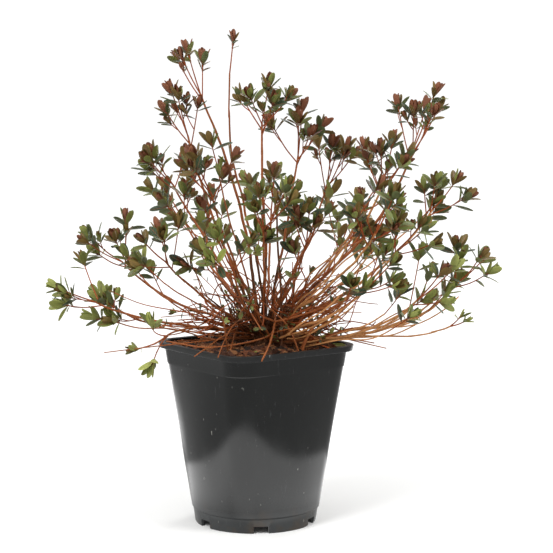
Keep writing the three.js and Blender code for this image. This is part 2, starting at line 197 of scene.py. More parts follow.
def through(points, count):
    """count + 1 evenly spaced points of a smooth curve through a few points."""
    points = np.asarray(points, dtype=float)
    padded = np.vstack([2 * points[0] - points[1], points, 2 * points[-1] - points[-2]])
    t = np.linspace(0.0, 1.0, 40, endpoint=False)[:, None]
    runs = []
    for a, b, c, d in zip(padded, padded[1:], padded[2:], padded[3:]):
        bend = (2 * a - 5 * b + 4 * c - d) * t**2 + (3 * b - a - 3 * c + d) * t**3
        runs.append(0.5 * (2 * b + (c - a) * t + bend))
    return even_points(np.vstack([*runs, points[-1:]]), count)


def limb_line(limb, count, swing=0.0, stretch=1.0, climb=0.0):
    """The line of a bough from inside the foot to its tip. A stem beside it swings, stretches and climbs."""
    upright = limb.leaves / 90
    start = heading(limb.start + swing * 2, 0) * lerp(LOW_OUT, UPRIGHT_OUT, upright)
    start[2] = lerp(LOW_START, UPRIGHT_START, upright) + limb.hitch
    tip = heading(limb.bearing + swing, 0) * limb.reach * stretch
    tip[2] = limb.rise + climb
    handle = np.linalg.norm(start - tip) / 3
    leaving = start + heading(limb.start + swing * 2, limb.leaves) * handle
    arriving = tip - heading(limb.bearing + swing, limb.ends) * handle
    return bezier(start, leaving, arriving, tip, count)


def grow_shoots(limb, index):
    """The line of a mass's stem up to its leader, and the shoots that fork from it in a spiral."""
    draw = seeded(1000 + index)
    axis = heading(limb.bearing, limb.ends)
    root = heading(limb.bearing, 0) * limb.reach
    root[2] = limb.rise
    root = root + axis * BOUGH_GAP
    bent = unit(axis + UP * SHOOT_LIFT * 0.5)
    elbow = root + axis * limb.stem * 0.5
    fork = elbow + bent * limb.stem * 0.5
    lead = leaned(bent, math.radians(limb.fan) * LEAD_LEAN, draw() * 2 * math.pi)
    shoots = [Shoot(fork, lead, fork + lead * limb.long)]
    for i in range(1, limb.shoots):
        a, b, c = draw(), draw(), draw()
        lean = math.radians(limb.fan) * lerp(LEAST_LEAN, MOST_LEAN, a)
        direction = unit(leaned(bent, lean, GOLDEN_TURN * i + b * 0.7) + UP * SHOOT_LIFT)
        start = lerp(fork, elbow, FIRST_FORK + (i - 1) * SPIRAL)
        long = limb.long * lerp(SHORTEST_SHOOT, LONGEST_SHOOT, c) + np.linalg.norm(start - fork) / 2
        shoots.append(Shoot(start, direction, start + direction * long))
    return np.array([root, elbow, fork, shoots[0].end]), shoots


def distance_to(point, path):
    """Shortest distance from a point to a run of points."""
    a, b = path[:-1], path[1:]
    run = b - a
    share = np.clip(np.sum((point - a) * run, axis=1) / np.sum(run * run, axis=1), 0, 1)
    return float(np.min(np.linalg.norm(a + run * share[:, None] - point, axis=1)))


def in_own_space(index, point, stems, boughs):
    """True where a point is nearest to this mass's own stem and clear of the other boughs and the pot."""
    if point[2] < OVER_POT and math.hypot(point[0], point[1]) < RIM_REACH:
        return False
    own = distance_to(point, stems[index]) + 2 * CLEAR
    if any(distance_to(point, line) < own for i, line in enumerate(stems) if i != index):
        return False
    return not any(
        distance_to(point, line) < LIMBS[i].girth + CLEAR
        for i, line in enumerate(boughs)
        if i != index
    )


def kept_shoots(index, shoots, stems, boughs):
    """The leader, and the other shoots that stay in their mass's own space."""
    kept = [shoots[0]]
    for one in shoots[1:]:
        points = [lerp(one.start, one.end, (i + 1) / 6) for i in range(6)]
        if all(in_own_space(index, point, stems, boughs) for point in points):
            kept.append(one)
    return kept


# ---- The same rule carried on to stems beside the boughs, finer twigs and rosettes ---------

GROWTH_SEED = 71
ANY_WAY = (0, 6.28)  # an angle from anywhere round a full turn
BOUGH_STEPS = 24
SHOOT_BOW = 0.05  # how far a shoot bows, as a share of its length
SIDE_PLACE = (0.3, 0.78)  # where twigs fork from a shoot, as shares of its length
SIDE_TWIG = (12.0, 24.0)  # shortest and longest twig at the side of a shoot
SIDE_LEAN = (26.0, 46.0)
SIDE_GIRTH = (0.62, 0.5)  # its radius at the fork and at the tip
SIDE_BOW = (0.2, 1.2)
SIDE_SIZE = (0.66, 0.9)  # size of its rosette
SIDE_LOWEST = 8.0  # a side twig keeps this high over the soil and the rim
TIP_ON = (-3.0, 12.0)  # how far a bud stands beyond the point where the solids' leaves meet
TIP_SIZE = (0.96, 1.22)  # size of the rosette at a shoot's tip
TIP_SIZE_BY_HEIGHT = (1.08, 1.03)  # times this, from the soil up to TIP_HIGH
TIP_HIGH = 300.0
STEM_END = 1.05  # radius of a mass's stem where its shoots fork
LEADER_GIRTH = 0.9  # radius of its leader there
SHOOT_GIRTH = 0.78  # and of the other shoots
SHOOT_END = 0.66  # radius at a shoot's tip
ONE_SIDED = 150.0  # shoots of masses higher than this each carry a side twig
WANDER = 2.2  # how far a limb strays from its line, in and out

BESIDE_STEPS = 22
BESIDE_DARK = 7  # steps of a stem beside a bough that have old dark bark, partly a painted shade low among the boughs
BESIDE_GIRTH = (0.75, 1.25)  # its radius at its foot
BESIDE_END = 0.8  # and at its tip
BESIDE_WANDER = 2.2 * WANDER
BESIDE_BOW = (-15.0, 15.0)  # how far it swings out sideways
BESIDE_SAG = (-6.0, 16.0)  # and sags
BESIDE_SWING = (-12, 12)  # how far round it stands from the bough, in degrees
BESIDE_CLIMB = (-16, 12)  # how much higher it ends
BESIDE_SHOOT = (20, 34)  # length of its own shoots
BESIDE_LEAN = (6, 16)  # lean of the first of them, in degrees
BESIDE_FAN = 24  # and how much further each next one leans
BESIDE_SHOOT_GIRTH = 0.72
SHORT_REACH = 60.0  # boughs that reach less far have no stem beside them
LONG_REACH = 125.0  # and those that reach further have several
LOW_RISE = 110.0  # a bough that rises less lies low
LOW_SAG = (0.0, 11.0)  # sag of the stems beside it
LOW_BESIDE = 3  # stems beside each of the low ones
LOW_ONES = ("left_low", "left_mid", "right_low", "right_low_outer", "right_low_front")
RIGHT_BARE = 2  # further ones without leaves of their own beside each low bough on the right
BARE_ON = 0.1  # these reach further in among the leaves, as a share of the bough
OPEN_EVERY = 5  # the low masses on the right lack each such shoot, which leaves them open

LOWEST = 9.0  # twigs keep this far above the level that the foot stands on
SOIL_REACH = 78.0
OVER_RIM = 17.0  # lowest height of a stem's axis where it crosses the pot's rim
DIVE = 14.0  # and beyond the rim
OVER_OTHERS = 16.0  # how far above that a stem may rest on the ones below it
SMOOTHINGS = 6  # how often a lifted stem's height is evened out

THICKET_ROOT = (0.02, 0.6)  # where a thicket twig forks from its bough, as shares of the bough
THICKET_REACH = 128.0
THICKET_TOP = (40, 120)  # highest end of a thicket twig
THICKET_GIRTH = (0.6, 1.0)
THICKET_BOW = (0.07, 0.28)
THICKET_TAPER = 0.7
THICKET_LEAF_SIZE = (0.36, 0.66)
LEAFLESS_BELOW = 18.0  # thicket twigs that end lower carry no leaves
LONG_TWIG = ((10, 72), (44, 118))  # lean in degrees and length of most thicket twigs
SHORT_TWIG = ((40, 95), (14, 36))  # and of each fifth
DARK_REACH = 70.0  # within this the low ones have old dark bark, partly a painted shade low in the thicket's middle
DARK_RISE = 110.0

BRONZE_TOP = 330.0  # height from which a spray is as bronze as it gets
BRONZE_LOW = 0.18  # how bronze it is at the soil
BRONZE_RISE = 0.88  # and how much more so at the top
GREEN_FROM = 120.0  # low sprays further out than this are greener
GREEN_OVER = 110.0
GREEN_TIPS = 0.2
TINT_STRAY = (-0.16, 0.2)
GREENER = {  # masses less bronze than their height makes them, and below 0 those more so
    "top_centre": 0.4,
    "front_mid": 0.15,
    "front_left": 0.15,
    "right_mid": 0.1,
    "top_right": -0.25,
    "top_left": -0.2,
    "top_spire": -0.2,
    "right_high_inner": -0.12,
    "centre_right": -0.1,
}
SPARSE = {  # masses with few leaves: shoots, leaves on each, their size and how far the bud stands beyond
    "left_ground": (1, 5, 0.9, 3.0),
    "right_ground": (2, 5, 0.75, 5.0),
    "top_spire": (1, 6, 0.9, 13.0),
    "top_left": (4, 8, 1.05, 5.0),
}

Twig = namedtuple("Twig", "points radii paint")
Spray = namedtuple("Spray", "tip axis size count tint loose")


def wandering(line, stray, seed):
    """The line with the small bends of a grown limb, none of them at its ends."""
    made = line.copy()
    hold = np.sin(np.linspace(0, math.pi, len(line))) ** 0.5
    for i, s in enumerate(reached(line)):
        bend = noise.noise_vector(Vector((s * 0.022, seed, 0.5))) * 1.3
        bend = bend + noise.noise_vector(Vector((s * 0.07, seed, 4.5))) * 0.35
        made[i] += np.array(bend) * stray * hold[i]
    return made


def bowed(start, end, bow, count):
    """A run of points from start to end that sags by bow before it turns up."""
    middle = lerp(start, end, 0.5) - UP * bow
    return through([start, middle, end], count)


def on_right(limb):
    return limb.name.startswith("right")


def low_on_right(limb):
    return limb.name.startswith("right_low")


def bark_of(limb):
    # Painted light: the boughs on the right get the paler bark, lighter for the light that falls on that
    # side.
    return "pale" if on_right(limb) else "middle"


class Growth:
    """All the twigs and sprays of leaves of the plant, grown from the limbs."""

    def __init__(self, wood, leaves):
        self.wood = wood
        self.leaves = leaves
        self.random = np.random.default_rng(GROWTH_SEED)
        self.boughs = [limb_line(limb, BOUGH_STEPS) for limb in LIMBS]
        self.grown = [grow_shoots(limb, index) for index, limb in enumerate(LIMBS)]
        self.stems = [stem for stem, _ in self.grown]
        self.twigs = []
        self.sprays = []
        self.greener = 0.0
        for index, limb in enumerate(LIMBS):
            self.grow_mass(index, limb)
        for index, limb in enumerate(LIMBS):
            if limb.name in SPARSE or limb.reach < SHORT_REACH:
                continue
            count = self.wood.beside if limb.reach > LONG_REACH else 1
            for _ in range(RIGHT_BARE if low_on_right(limb) else 0):
                self.grow_beside(index, limb, leafy=False)
            for _ in range(LOW_BESIDE if limb.name in LOW_ONES else count):
                self.grow_beside(index, limb)
        self.grow_thicket()
        self.grow_strays()

    def among(self, low, high):
        return float(self.random.uniform(low, high))

    def tint_at(self, point):
        """How bronze a spray is, from 0 to 1: more towards the top, less at the outermost low tips."""
        height = np.clip(point[2] / BRONZE_TOP, 0, 1)
        outward = np.clip((math.hypot(point[0], point[1]) - GREEN_FROM) / GREEN_OVER, 0, 1)
        bronze = BRONZE_LOW + BRONZE_RISE * height - GREEN_TIPS * outward * (1 - height) - self.greener
        return float(np.clip(bronze + self.among(*TINT_STRAY), 0, 1))

    def add_spray(self, tip, axis, size, count, loose):
        count += int(self.random.integers(-1, 2))
        self.sprays.append(Spray(tip, axis, size, count, self.tint_at(tip), loose))

    def grow_side_twigs(self, line, axis, count):
        """Short twigs that fork from the outer half of a shoot, each with its own rosette."""
        for i in range(count):
            share = lerp(*SIDE_PLACE, (i + self.among(0.2, 0.8)) / count)
            at = int(share * (len(line) - 1))
            start = line[at]
            lean = math.radians(self.among(*SIDE_LEAN))
            direction = leaned(axis, lean, GOLDEN_TURN * (i + 1) + self.among(*ANY_WAY))
            direction = unit(direction + UP * SHOOT_LIFT * 1.2)
            end = start + direction * self.among(*SIDE_TWIG)
            if end[2] < SIDE_LOWEST and math.hypot(end[0], end[1]) < RIM_REACH:
                continue
            points = bowed(start, end, self.among(*SIDE_BOW), 5)
            self.twigs.append(Twig(points, np.linspace(*SIDE_GIRTH, 6), "shoot"))
            axis = unit(points[-1] - points[-2])
            self.add_spray(end, axis, self.among(*SIDE_SIZE), self.leaves.each - 1, i % 2)

    def grow_shoot(self, shoot, root_radius, sides, sparse=None):
        """One shoot with its rosette at the tip."""
        length = np.linalg.norm(shoot.end - shoot.start)
        bow = length * SHOOT_BOW * self.among(0.2, 1.4)
        tip = shoot.end + unit(shoot.end - shoot.start) * (sparse[3] if sparse else self.among(*TIP_ON))
        line = bowed(shoot.start, tip, bow, 9)
        share = np.linspace(0, 1, len(line))
        self.twigs.append(Twig(line, lerp(root_radius, SHOOT_END, share), "young"))
        axis = unit(line[-1] - line[-2])
        if sparse:
            self.add_spray(tip, axis, sparse[2] * self.among(0.85, 1.1), sparse[1], 0)
            self.add_spray(line[-3], axis, sparse[2] * 0.72, 2, 0)
            return
        high = np.clip(tip[2] / TIP_HIGH, 0, 1)
        size = self.among(*TIP_SIZE) * lerp(*TIP_SIZE_BY_HEIGHT, high)
        self.add_spray(tip, axis, size, self.leaves.each, int(self.random.integers(1, 3)))
        self.grow_side_twigs(line, axis, sides)

    def grow_mass(self, index, limb):
        """The stem that goes on from a bough's tip, and its shoots."""
        self.greener = GREENER.get(limb.name, 0.0)
        stem, shoots = self.grown[index]
        tip_radius = limb.girth * TIP_SHARE
        before = self.boughs[index][-2]
        line = through([before, *stem[:3]], 12)
        share = np.linspace(0, 1, len(line))
        self.twigs.append(Twig(line, lerp(tip_radius, STEM_END, share), bark_of(limb)))
        sparse = SPARSE.get(limb.name)
        kept = kept_shoots(index, shoots, self.stems, self.boughs)
        open_low = low_on_right(limb)
        for number, one in enumerate(kept[:sparse[0]] if sparse else kept):
            if open_low and number % OPEN_EVERY == OPEN_EVERY - 1:
                continue
            few = 1 if not open_low and ((number + index) % 2 == 0 or limb.rise > ONE_SIDED) else 0
            self.grow_shoot(one, LEADER_GIRTH if number == 0 else SHOOT_GIRTH, few, sparse)

    def grow_beside(self, index, limb, leafy=True):
        """A thinner stem that rises beside a bough and ends among the same mass."""
        self.greener = GREENER.get(limb.name, 0.0)
        swing = self.among(*BESIDE_SWING)
        stretch = self.among(0.86, 1.04) if limb.name in LOW_ONES else self.among(0.72, 1.02)
        if not leafy:
            stretch += BARE_ON
        climb = self.among(*BESIDE_CLIMB) * (1 if limb.rise > 40 else 0.3)
        line = limb_line(limb, BESIDE_STEPS, swing, stretch, climb)
        reach = np.linspace(0, 1, len(line))
        line = self.over_soil(wandering(line + self.swung(line, limb), BESIDE_WANDER, self.among(0, 90)))
        radii = lerp(self.among(*BESIDE_GIRTH), BESIDE_END, reach)
        # The lower steps take the old dark bark: partly old bark, partly a painted shade near the foot.
        self.twigs.append(Twig(line[:BESIDE_DARK + 1], radii[:BESIDE_DARK + 1], "old"))
        self.twigs.append(Twig(line[BESIDE_DARK:], radii[BESIDE_DARK:], bark_of(limb)))
        if not leafy:
            return
        axis = unit(unit(line[-1] - line[-2]) + UP * SHOOT_LIFT * 0.5)
        most = 2 if low_on_right(limb) else 3
        for number in range(int(self.random.integers(1, most))):
            lean = math.radians(self.among(*BESIDE_LEAN) + BESIDE_FAN * number)
            direction = leaned(axis, lean, self.among(*ANY_WAY))
            end = line[-1] + direction * self.among(*BESIDE_SHOOT)
            if in_own_space(index, end, self.stems, self.boughs):
                self.grow_shoot(Shoot(line[-1], direction, end), BESIDE_SHOOT_GIRTH, number)

    def swung(self, line, limb):
        """How far each point of a stem beside a bough lies out from the bough's own line."""
        hold = np.sin(np.linspace(0, math.pi, len(line)))[:, None]
        side = unit(np.cross(line[-1] - line[0], UP))
        sag = self.among(*(LOW_SAG if limb.rise < LOW_RISE else BESIDE_SAG))
        return (side * self.among(*BESIDE_BOW) - UP * sag) * hold

    def over_soil(self, line):
        """The line kept above the soil and the rim, and evened out where it lifts."""
        out = np.hypot(line[:, 0], line[:, 1])
        floor = np.select([out < SOIL_REACH, out < RIM_REACH], [LOWEST, OVER_RIM], DIVE)
        rest = self.among(0, OVER_OTHERS) * np.clip(out / RIM_REACH, 0, 1)
        line[:, 2] = np.maximum(line[:, 2], floor + rest)
        for _ in range(SMOOTHINGS):
            line[1:-1, 2] = (line[:-2, 2] + 2 * line[1:-1, 2] + line[2:, 2]) / 4
        return line

    def grow_thicket(self):
        """The bare and half-bare twigs that crowd between the boughs, low in the middle."""
        self.greener = 0.0
        for number in range(self.wood.thicket):
            index = int(self.random.integers(len(LIMBS)))
            bough = self.boughs[index]
            at = int(self.among(*THICKET_ROOT) ** 1.3 * (len(bough) - 1))
            start = bough[at]
            along = unit(bough[at + 1] - bough[at])
            leans, lengths = LONG_TWIG if number % 5 else SHORT_TWIG
            direction = leaned(along, math.radians(self.among(*leans)), self.among(*ANY_WAY))
            direction = unit(direction + UP * self.among(-0.05, 0.3))
            length = self.among(*lengths)
            end = start + direction * length
            out = math.hypot(end[0], end[1])
            if end[2] < LOWEST or out > THICKET_REACH or end[2] > self.among(*THICKET_TOP):
                continue
            bend = leaned(direction, math.pi / 2, self.among(*ANY_WAY)) * length * self.among(*THICKET_BOW)
            line = through([start, lerp(start, end, 0.5) + bend, end], 12)
            if np.any((line[:, 2] < LOWEST) & (line[:, 2] < start[2] - 1)):
                continue
            girth = self.among(*THICKET_GIRTH)
            # Old dark bark low near the foot: partly old bark, partly a painted shade where the thicket
            # crowds.
            near = out < DARK_REACH and start[2] + end[2] < DARK_RISE
            paint = "old" if near else "young" if number % 2 else "middle"
            self.twigs.append(Twig(line, np.linspace(girth, girth * THICKET_TAPER, 13), paint))
            if number % 4 == 0 and end[2] > LEAFLESS_BELOW:
                axis = unit(line[-1] - line[-2] + UP * 0.3)
                self.add_spray(line[-1], axis, self.among(*THICKET_LEAF_SIZE), 3, 1)

    def grow_strays(self):
        """Cut ends that hang over the rim, twigs that lie on it and stems of their own from the soil."""
        for points, girth, tip, paint, leaves, size in STRAYS:
            line = through(points, STRAY_STEPS)
            self.twigs.append(Twig(line, np.linspace(girth, tip, len(line)), paint))
            if leaves:
                self.add_spray(line[-1], unit(line[-1] - line[-2]), size, leaves, 0)


STRAY_STEPS = 18
# Points, girth at the root, girth at the tip, bark, leaves at the tip and their size.
STRAYS = (
    (((-24, -20, 34), (-46, -55, 25), (-58, -68, 18), (-74, -79, 8)), 0.8, 0.6, "middle", 0, 0),
    (((-20, -24, 46), (-34, -66, 38), (-42, -88, 25), (-48, -100, 10)), 0.8, 0.6, "middle", 0, 0),
    (((12, -20, 46), (12, -44, 41), (8, -80, 27), (4, -101, 19), (-2, -111, 8)), 1.3, 0.9, "middle", 0, 0),
    (((14, -12, 30), (-2, -64, 25), (-56, -80, 18), (-104, -76, 24)), 1.0, 0.7, "middle", 0, 0),
    (((-12, -6, 20), (-70, -44, 19), (-124, -58, 15), (-172, -58, 9)), 0.9, 0.55, "middle", 0, 0),
    (((16, -4, 24), (66, -22, 25), (104, -34, 17), (133, -40, 11)), 1.0, 0.6, "middle", 0, 0),
    (((41, -50, 4), (43, -50, 16), (52, -50, 34), (68, -46, 52), (92, -42, 66)), 2.0, 1.2, "middle", 0, 0),
    (((19, -40, 4), (19, -34, 40), (18, -28, 80), (15, -20, 120), (14, -20, 156)), 1.6, 1.0, "old", 5, 0.8),
    (((29, -20, 4), (30, -14, 36), (33, -6, 74), (38, 0, 112)), 1.3, 0.9, "middle", 5, 0.8),
    (((39, -60, 6), (28, -60, 34), (12, -56, 52), (-26, -42, 82)), 1.0, 0.6, "middle", 4, 0.6),
    (((-42, -40, 70), (-20, -50, 65), (-4, -56, 50), (12, -46, 41)), 0.7, 1.1, "middle", 0, 0),
    (((12, -46, 41), (34, -52, 47), (64, -56, 58), (88, -56, 72)), 1.3, 0.8, "middle", 4, 0.6),
    (
        ((-10, -4, 22), (-50, -14, 36), (-82, -20, 47), (-132, -10, 55), (-166, -6, 68)),
        1.0, 0.5, "young", 2, 0.5,
    ),
    (((-104, -42, 25), (-110, -45, 19), (-116, -47, 8), (-120, -49, -3)), 0.8, 0.6, "young", 7, 1.25),
    (((-104, -42, 25), (-112, -44, 26), (-119, -45, 30), (-121, -45, 36)), 0.8, 0.6, "young", 6, 1.25),
    (((-24, 6, 4), (-30, 4, 22), (-44, -2, 46), (-66, -8, 66)), 1.4, 0.9, "old", 0, 0),
    (((22, 26, 4), (28, 32, 24), (40, 42, 56), (52, 50, 84)), 1.4, 0.9, "old", 4, 0.7),
    (((-14, 24, 4), (-20, 34, 26), (-30, 48, 52), (-38, 58, 78)), 1.3, 0.9, "old", 4, 0.7),
    (((8, -22, 4), (6, -28, 22), (-6, -40, 46), (-16, -50, 72)), 1.3, 0.8, "middle", 4, 0.6),
    (((-8, 14, 30), (-44, 20, 42), (-84, 34, 38), (-118, 44, 34)), 0.9, 0.5, "middle", 0, 0),
    (((12, 14, 30), (54, 32, 40), (92, 58, 38), (112, 84, 34)), 0.9, 0.5, "middle", 0, 0),
)


# ---- Meshes ------------------------------------------------------------------------------

SHARP = math.radians(52)  # edges that turn more than this stay crisp
POT_AT = np.zeros(3)
BOX_CORNERS = np.array([(x, y, z) for x in (-1, 1) for y in (-1, 1) for z in (-1, 1)], dtype=float)
BOX_FACES = [(0, 1, 3, 2), (4, 6, 7, 5), (0, 4, 5, 1), (2, 3, 7, 6), (0, 2, 6, 4), (1, 5, 7, 3)]


class Batch:
    """Many small shapes of one kind, gathered into one mesh. place is what their patterns follow."""

    def __init__(self):
        self.points = []
        self.faces = []
        self.places = []
        self.paints = []
        self.count = 0

    def add(self, points, faces, place, paints):
        self.points.append(points)
        self.faces.extend([corner + self.count for corner in face] for face in faces)
        self.places.append(place)
        self.paints.extend(paints)
        self.count += len(points)

    def build(self, name, materials, origin=SHRUB_AT, sharp=SHARP):
        points = (np.vstack(self.points) + origin) * MM
        made = bpy.data.meshes.new(name)
        made.from_pydata(points.tolist(), [], self.faces)
        for material in materials:
            made.materials.append(material)
        made.polygons.foreach_set("material_index", self.paints)
        place = made.attributes.new("place", "FLOAT_VECTOR", "POINT")
        place.data.foreach_set("vector", np.vstack(self.places).ravel())
        made.shade_smooth()
        made.set_sharp_from_angle(angle=sharp)
        made.validate()
        piece = bpy.data.objects.new(name, made)
        bpy.context.scene.collection.objects.link(piece)
        return piece


def frames_along(line):
    """Two directions across a line at each of its points, carried on without twist."""
    ahead = np.gradient(line, axis=0)
    ahead /= np.linalg.norm(ahead, axis=1)[:, None]
    first = np.empty_like(line)
    first[0] = unit(np.cross(ahead[0], UP if abs(ahead[0][2]) < 0.9 else ACROSS))
    for i in range(1, len(line)):
        first[i] = square_to(first[i - 1], ahead[i])
    return first, np.cross(ahead, first)


def tube(line, radii, sides, start=0.0, relief=None):
    """A limb along a line, closed by a small dome. relief adds to the radius from (ring, along)."""
    radii = np.asarray(radii, dtype=float)
    first, second = frames_along(line)
    angles = np.linspace(0, 2 * math.pi, sides, endpoint=False)
    ring = np.stack([np.cos(angles), np.sin(angles)], axis=1)
    along = reached(line)
    spread = np.repeat(radii[:, None], sides, axis=1)
    if relief is not None:
        spread = spread + relief(ring, along, radii)
    out = first[:, None, :] * ring[None, :, :1] + second[:, None, :] * ring[None, :, 1:]
    points = (line[:, None, :] + out * spread[:, :, None]).reshape(-1, 3)
    dome = line[-1] + unit(line[-1] - line[-2]) * radii[-1] * 0.7
    points = np.vstack([points, dome])
    steps = len(line)
    base = np.arange(sides)
    after = (base + 1) % sides
    faces = []
    for i in range(steps - 1):
        low, high = i * sides, (i + 1) * sides
        faces.append(np.stack([low + base, low + after, high + after, high + base], axis=1))
    last = (steps - 1) * sides
    cap = np.stack([last + base, last + after, np.full(sides, len(points) - 1)], axis=1)
    faces = [*np.vstack(faces).tolist(), *cap.tolist()]
    place = np.empty((steps, sides, 3))
    place[:, :, :2] = ring[None, :, :] * radii[:, None, None]
    place[:, :, 2] = (start + along)[:, None]
    place = np.vstack([place.reshape(-1, 3), [0, 0, start + along[-1]]])
    return points, faces, place


def add_tube(batch, line, radii, sides, paint, start=0.0, relief=None):
    points, faces, place = tube(line, radii, sides, start, relief)
    batch.add(points, faces, place, [paint] * len(faces))


def lathe(profile, segments, square=False):
    """A closed body turned from a profile that begins and ends on the axis.

    A square one reaches further out towards its corners, as the pot does.
    """
    inner = profile[1:-1]
    angles = np.linspace(0, 2 * math.pi, segments, endpoint=False)
    if square:
        angles = angles + POT_CROWDING * np.sin(4 * angles)
    points = [(0.0, 0.0, profile[0][1]), (0.0, 0.0, profile[-1][1])]
    turn = math.radians(POT_TURN) if square else 0.0
    for radius, z in inner:
        for angle in angles:
            out = radius * (squareness(angle, z) if square else 1.0)
            points.append((out * math.cos(angle + turn), out * math.sin(angle + turn), z))
    faces = []
    for i in range(segments):
        j = (i + 1) % segments
        faces.append((0, 2 + j, 2 + i))
        last = 2 + (len(inner) - 1) * segments
        faces.append((1, last + i, last + j))
    for row in range(len(inner) - 1):
        low, high = 2 + row * segments, 2 + (row + 1) * segments
        for i in range(segments):
            j = (i + 1) % segments
            faces.append((low + i, low + j, high + j, high + i))
    return np.array(points), faces


# ---- Pot ---------------------------------------------------------------------------------

POT_HEIGHT = 200.0
WALL_TOP = 82.0  # half the outer width across the flats, at the top
FOOT_RADIUS = 69.0
CORNER_TOP = 27.0
POT_TURN = 36.0
POT_CROWDING = 0.14
WALL = 1.8
LIP_OUT = 4.0
LIP_HEIGHT = 6.5
COLLAR_DROP = 24.0
COLLAR_STEP = 0.4
FOOT_HEIGHT = 16.0
FOOT_INSET = 1.6
FOOT_THICK = 3.0
FLOOR_UNDER = 9.0
FLOOR_THICK = 2.0
PAD_RADIUS = 24.0
NOTCHES = 6
NOTCH_WIDE = 16.5
NOTCH_HIGH = 8.0
SOIL_TOP = 188.0
SOIL_EDGE = 185.0
SOIL_GAP = 0.5


def wall_half(z):
    return lerp(FOOT_RADIUS, WALL_TOP, z / POT_HEIGHT)


def square_reach(angle):
    """Distance from the axis to the rounded square that the wall reaches at the top."""
    to_corner = WALL_TOP - CORNER_TOP
    folded = abs((angle + math.pi / 4) % (math.pi / 2) - math.pi / 4)
    if WALL_TOP * math.tan(folded) <= to_corner:
        return WALL_TOP / math.cos(folded)
    along = to_corner * (math.cos(folded) + math.sin(folded))
    return along + math.sqrt(along**2 - 2 * to_corner**2 + CORNER_TOP**2)


def squareness(angle, z):
    return lerp(FOOT_RADIUS, square_reach(angle), z / POT_HEIGHT) / wall_half(z)


def rounded(profile, radius, steps=3):
    """The profile with each corner that isn't on the axis taken round."""
    made = [profile[0]]
    for before, corner, after in zip(profile, profile[1:], profile[2:]):
        before, corner, after = (np.array(p, dtype=float) for p in (before, corner, after))
        back, on = before - corner, after - corner
        cut = min(radius, 0.4 * np.linalg.norm(back), 0.4 * np.linalg.norm(on))
        a, c = corner + unit(back) * cut, corner + unit(on) * cut
        for t in np.linspace(0, 1, steps):
            made.append(tuple((1 - t) ** 2 * a + 2 * (1 - t) * t * corner + t**2 * c))
    made.append(profile[-1])
    return made


def pot_profile(look):
    lip_under = POT_HEIGHT - LIP_HEIGHT
    collar = POT_HEIGHT - COLLAR_DROP
    ring_inner = FOOT_RADIUS - FOOT_INSET - FOOT_THICK
    floor_top = FLOOR_UNDER + FLOOR_THICK
    outside = [
        (0, 0), (PAD_RADIUS, 0), (PAD_RADIUS, FLOOR_UNDER), (ring_inner, FLOOR_UNDER),
        (ring_inner, 0), (FOOT_RADIUS - FOOT_INSET, 0),
        (wall_half(FOOT_HEIGHT) - FOOT_INSET, FOOT_HEIGHT),
        (wall_half(FOOT_HEIGHT) - COLLAR_STEP, FOOT_HEIGHT + 1),
        (wall_half(collar) - COLLAR_STEP, collar),
        (wall_half(collar), collar + 1),
        (wall_half(lip_under), lip_under),
        (wall_half(lip_under) + LIP_OUT, lip_under),
        (wall_half(POT_HEIGHT) + LIP_OUT, POT_HEIGHT),
    ]
    dish = PAD_RADIUS - FLOOR_THICK
    inside = [
        (wall_half(POT_HEIGHT) - WALL, POT_HEIGHT),
        (wall_half(SOIL_EDGE) - WALL, SOIL_EDGE),
        (wall_half(floor_top) - WALL - COLLAR_STEP, floor_top),
        (dish, floor_top), (dish, FLOOR_THICK), (0, FLOOR_THICK),
    ]
    return rounded([*outside, *inside], look.rounding / MM)


def notch_cutter():
    """Boxes round the foot ring, as one mesh."""
    batch = Batch()
    corners = BOX_CORNERS * np.array([2 * FOOT_THICK, NOTCH_WIDE / 2, NOTCH_HIGH])
    placed = corners + ACROSS * (FOOT_RADIUS - FOOT_INSET)
    for number in range(NOTCHES):
        turn = math.radians(POT_TURN + 360 * number / NOTCHES)
        x = placed[:, 0] * math.cos(turn) - placed[:, 1] * math.sin(turn)
        y = placed[:, 0] * math.sin(turn) + placed[:, 1] * math.cos(turn)
        batch.add(np.stack([x, y, placed[:, 2]], axis=1), BOX_FACES, placed, [0] * len(BOX_FACES))
    return batch.build("notch_cutter", [], origin=POT_AT)


def applied(piece):
    """The piece with its modifiers applied and the crisp edges marked again."""
    ready = piece.evaluated_get(bpy.context.evaluated_depsgraph_get())
    made = bpy.data.meshes.new_from_object(ready)
    piece.modifiers.clear()
    piece.data = made
    made.shade_smooth()
    made.set_sharp_from_angle(angle=SHARP)
    place = np.empty(3 * len(made.vertices))
    made.vertices.foreach_get("co", place)
    made.attributes["place"].data.foreach_set("vector", place / MM)
    return piece


def build_pot(look):
    points, faces = lathe(pot_profile(look), look.segments, square=True)
    middles = np.array([np.mean(points[list(face)], axis=0) for face in faces])
    outward = np.hypot(middles[:, 0], middles[:, 1]) > WALL_TOP - 1
    lip_faces = outward & (middles[:, 2] > POT_HEIGHT - LIP_HEIGHT + 0.4)
    batch = Batch()
    batch.add(points, faces, points, lip_faces.astype(int).tolist())
    plastic = pot_plastic("pot_plastic", look, look.plastic, look.gloss)
    # The lip gets a lighter, duller copy of the wall's plastic: the lighter colour is a painted highlight
    # along the rim.
    lip = pot_plastic("pot_lip_plastic", look, look.lip_plastic, look.gloss + 0.3)
    pot = batch.build("pot_shell", [plastic, lip], origin=POT_AT)
    cutter = notch_cutter()
    cut = pot.modifiers.new("notches", "BOOLEAN")
    cut.operation = "DIFFERENCE"
    cut.solver = "EXACT"
    cut.object = cutter
    applied(pot)
    bpy.data.objects.remove(cutter)
    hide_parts("pot")
    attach(pot, "root")


# ---- Soil and what lies on it --------------------------------------------------------------

MULCH = 7.0  # how high the chips lie over the soil, with the bed under them
MULCH_AT_WALL = 3.5  # and beside the wall
MULCH_SLOPE = 16.0  # over this distance from the wall


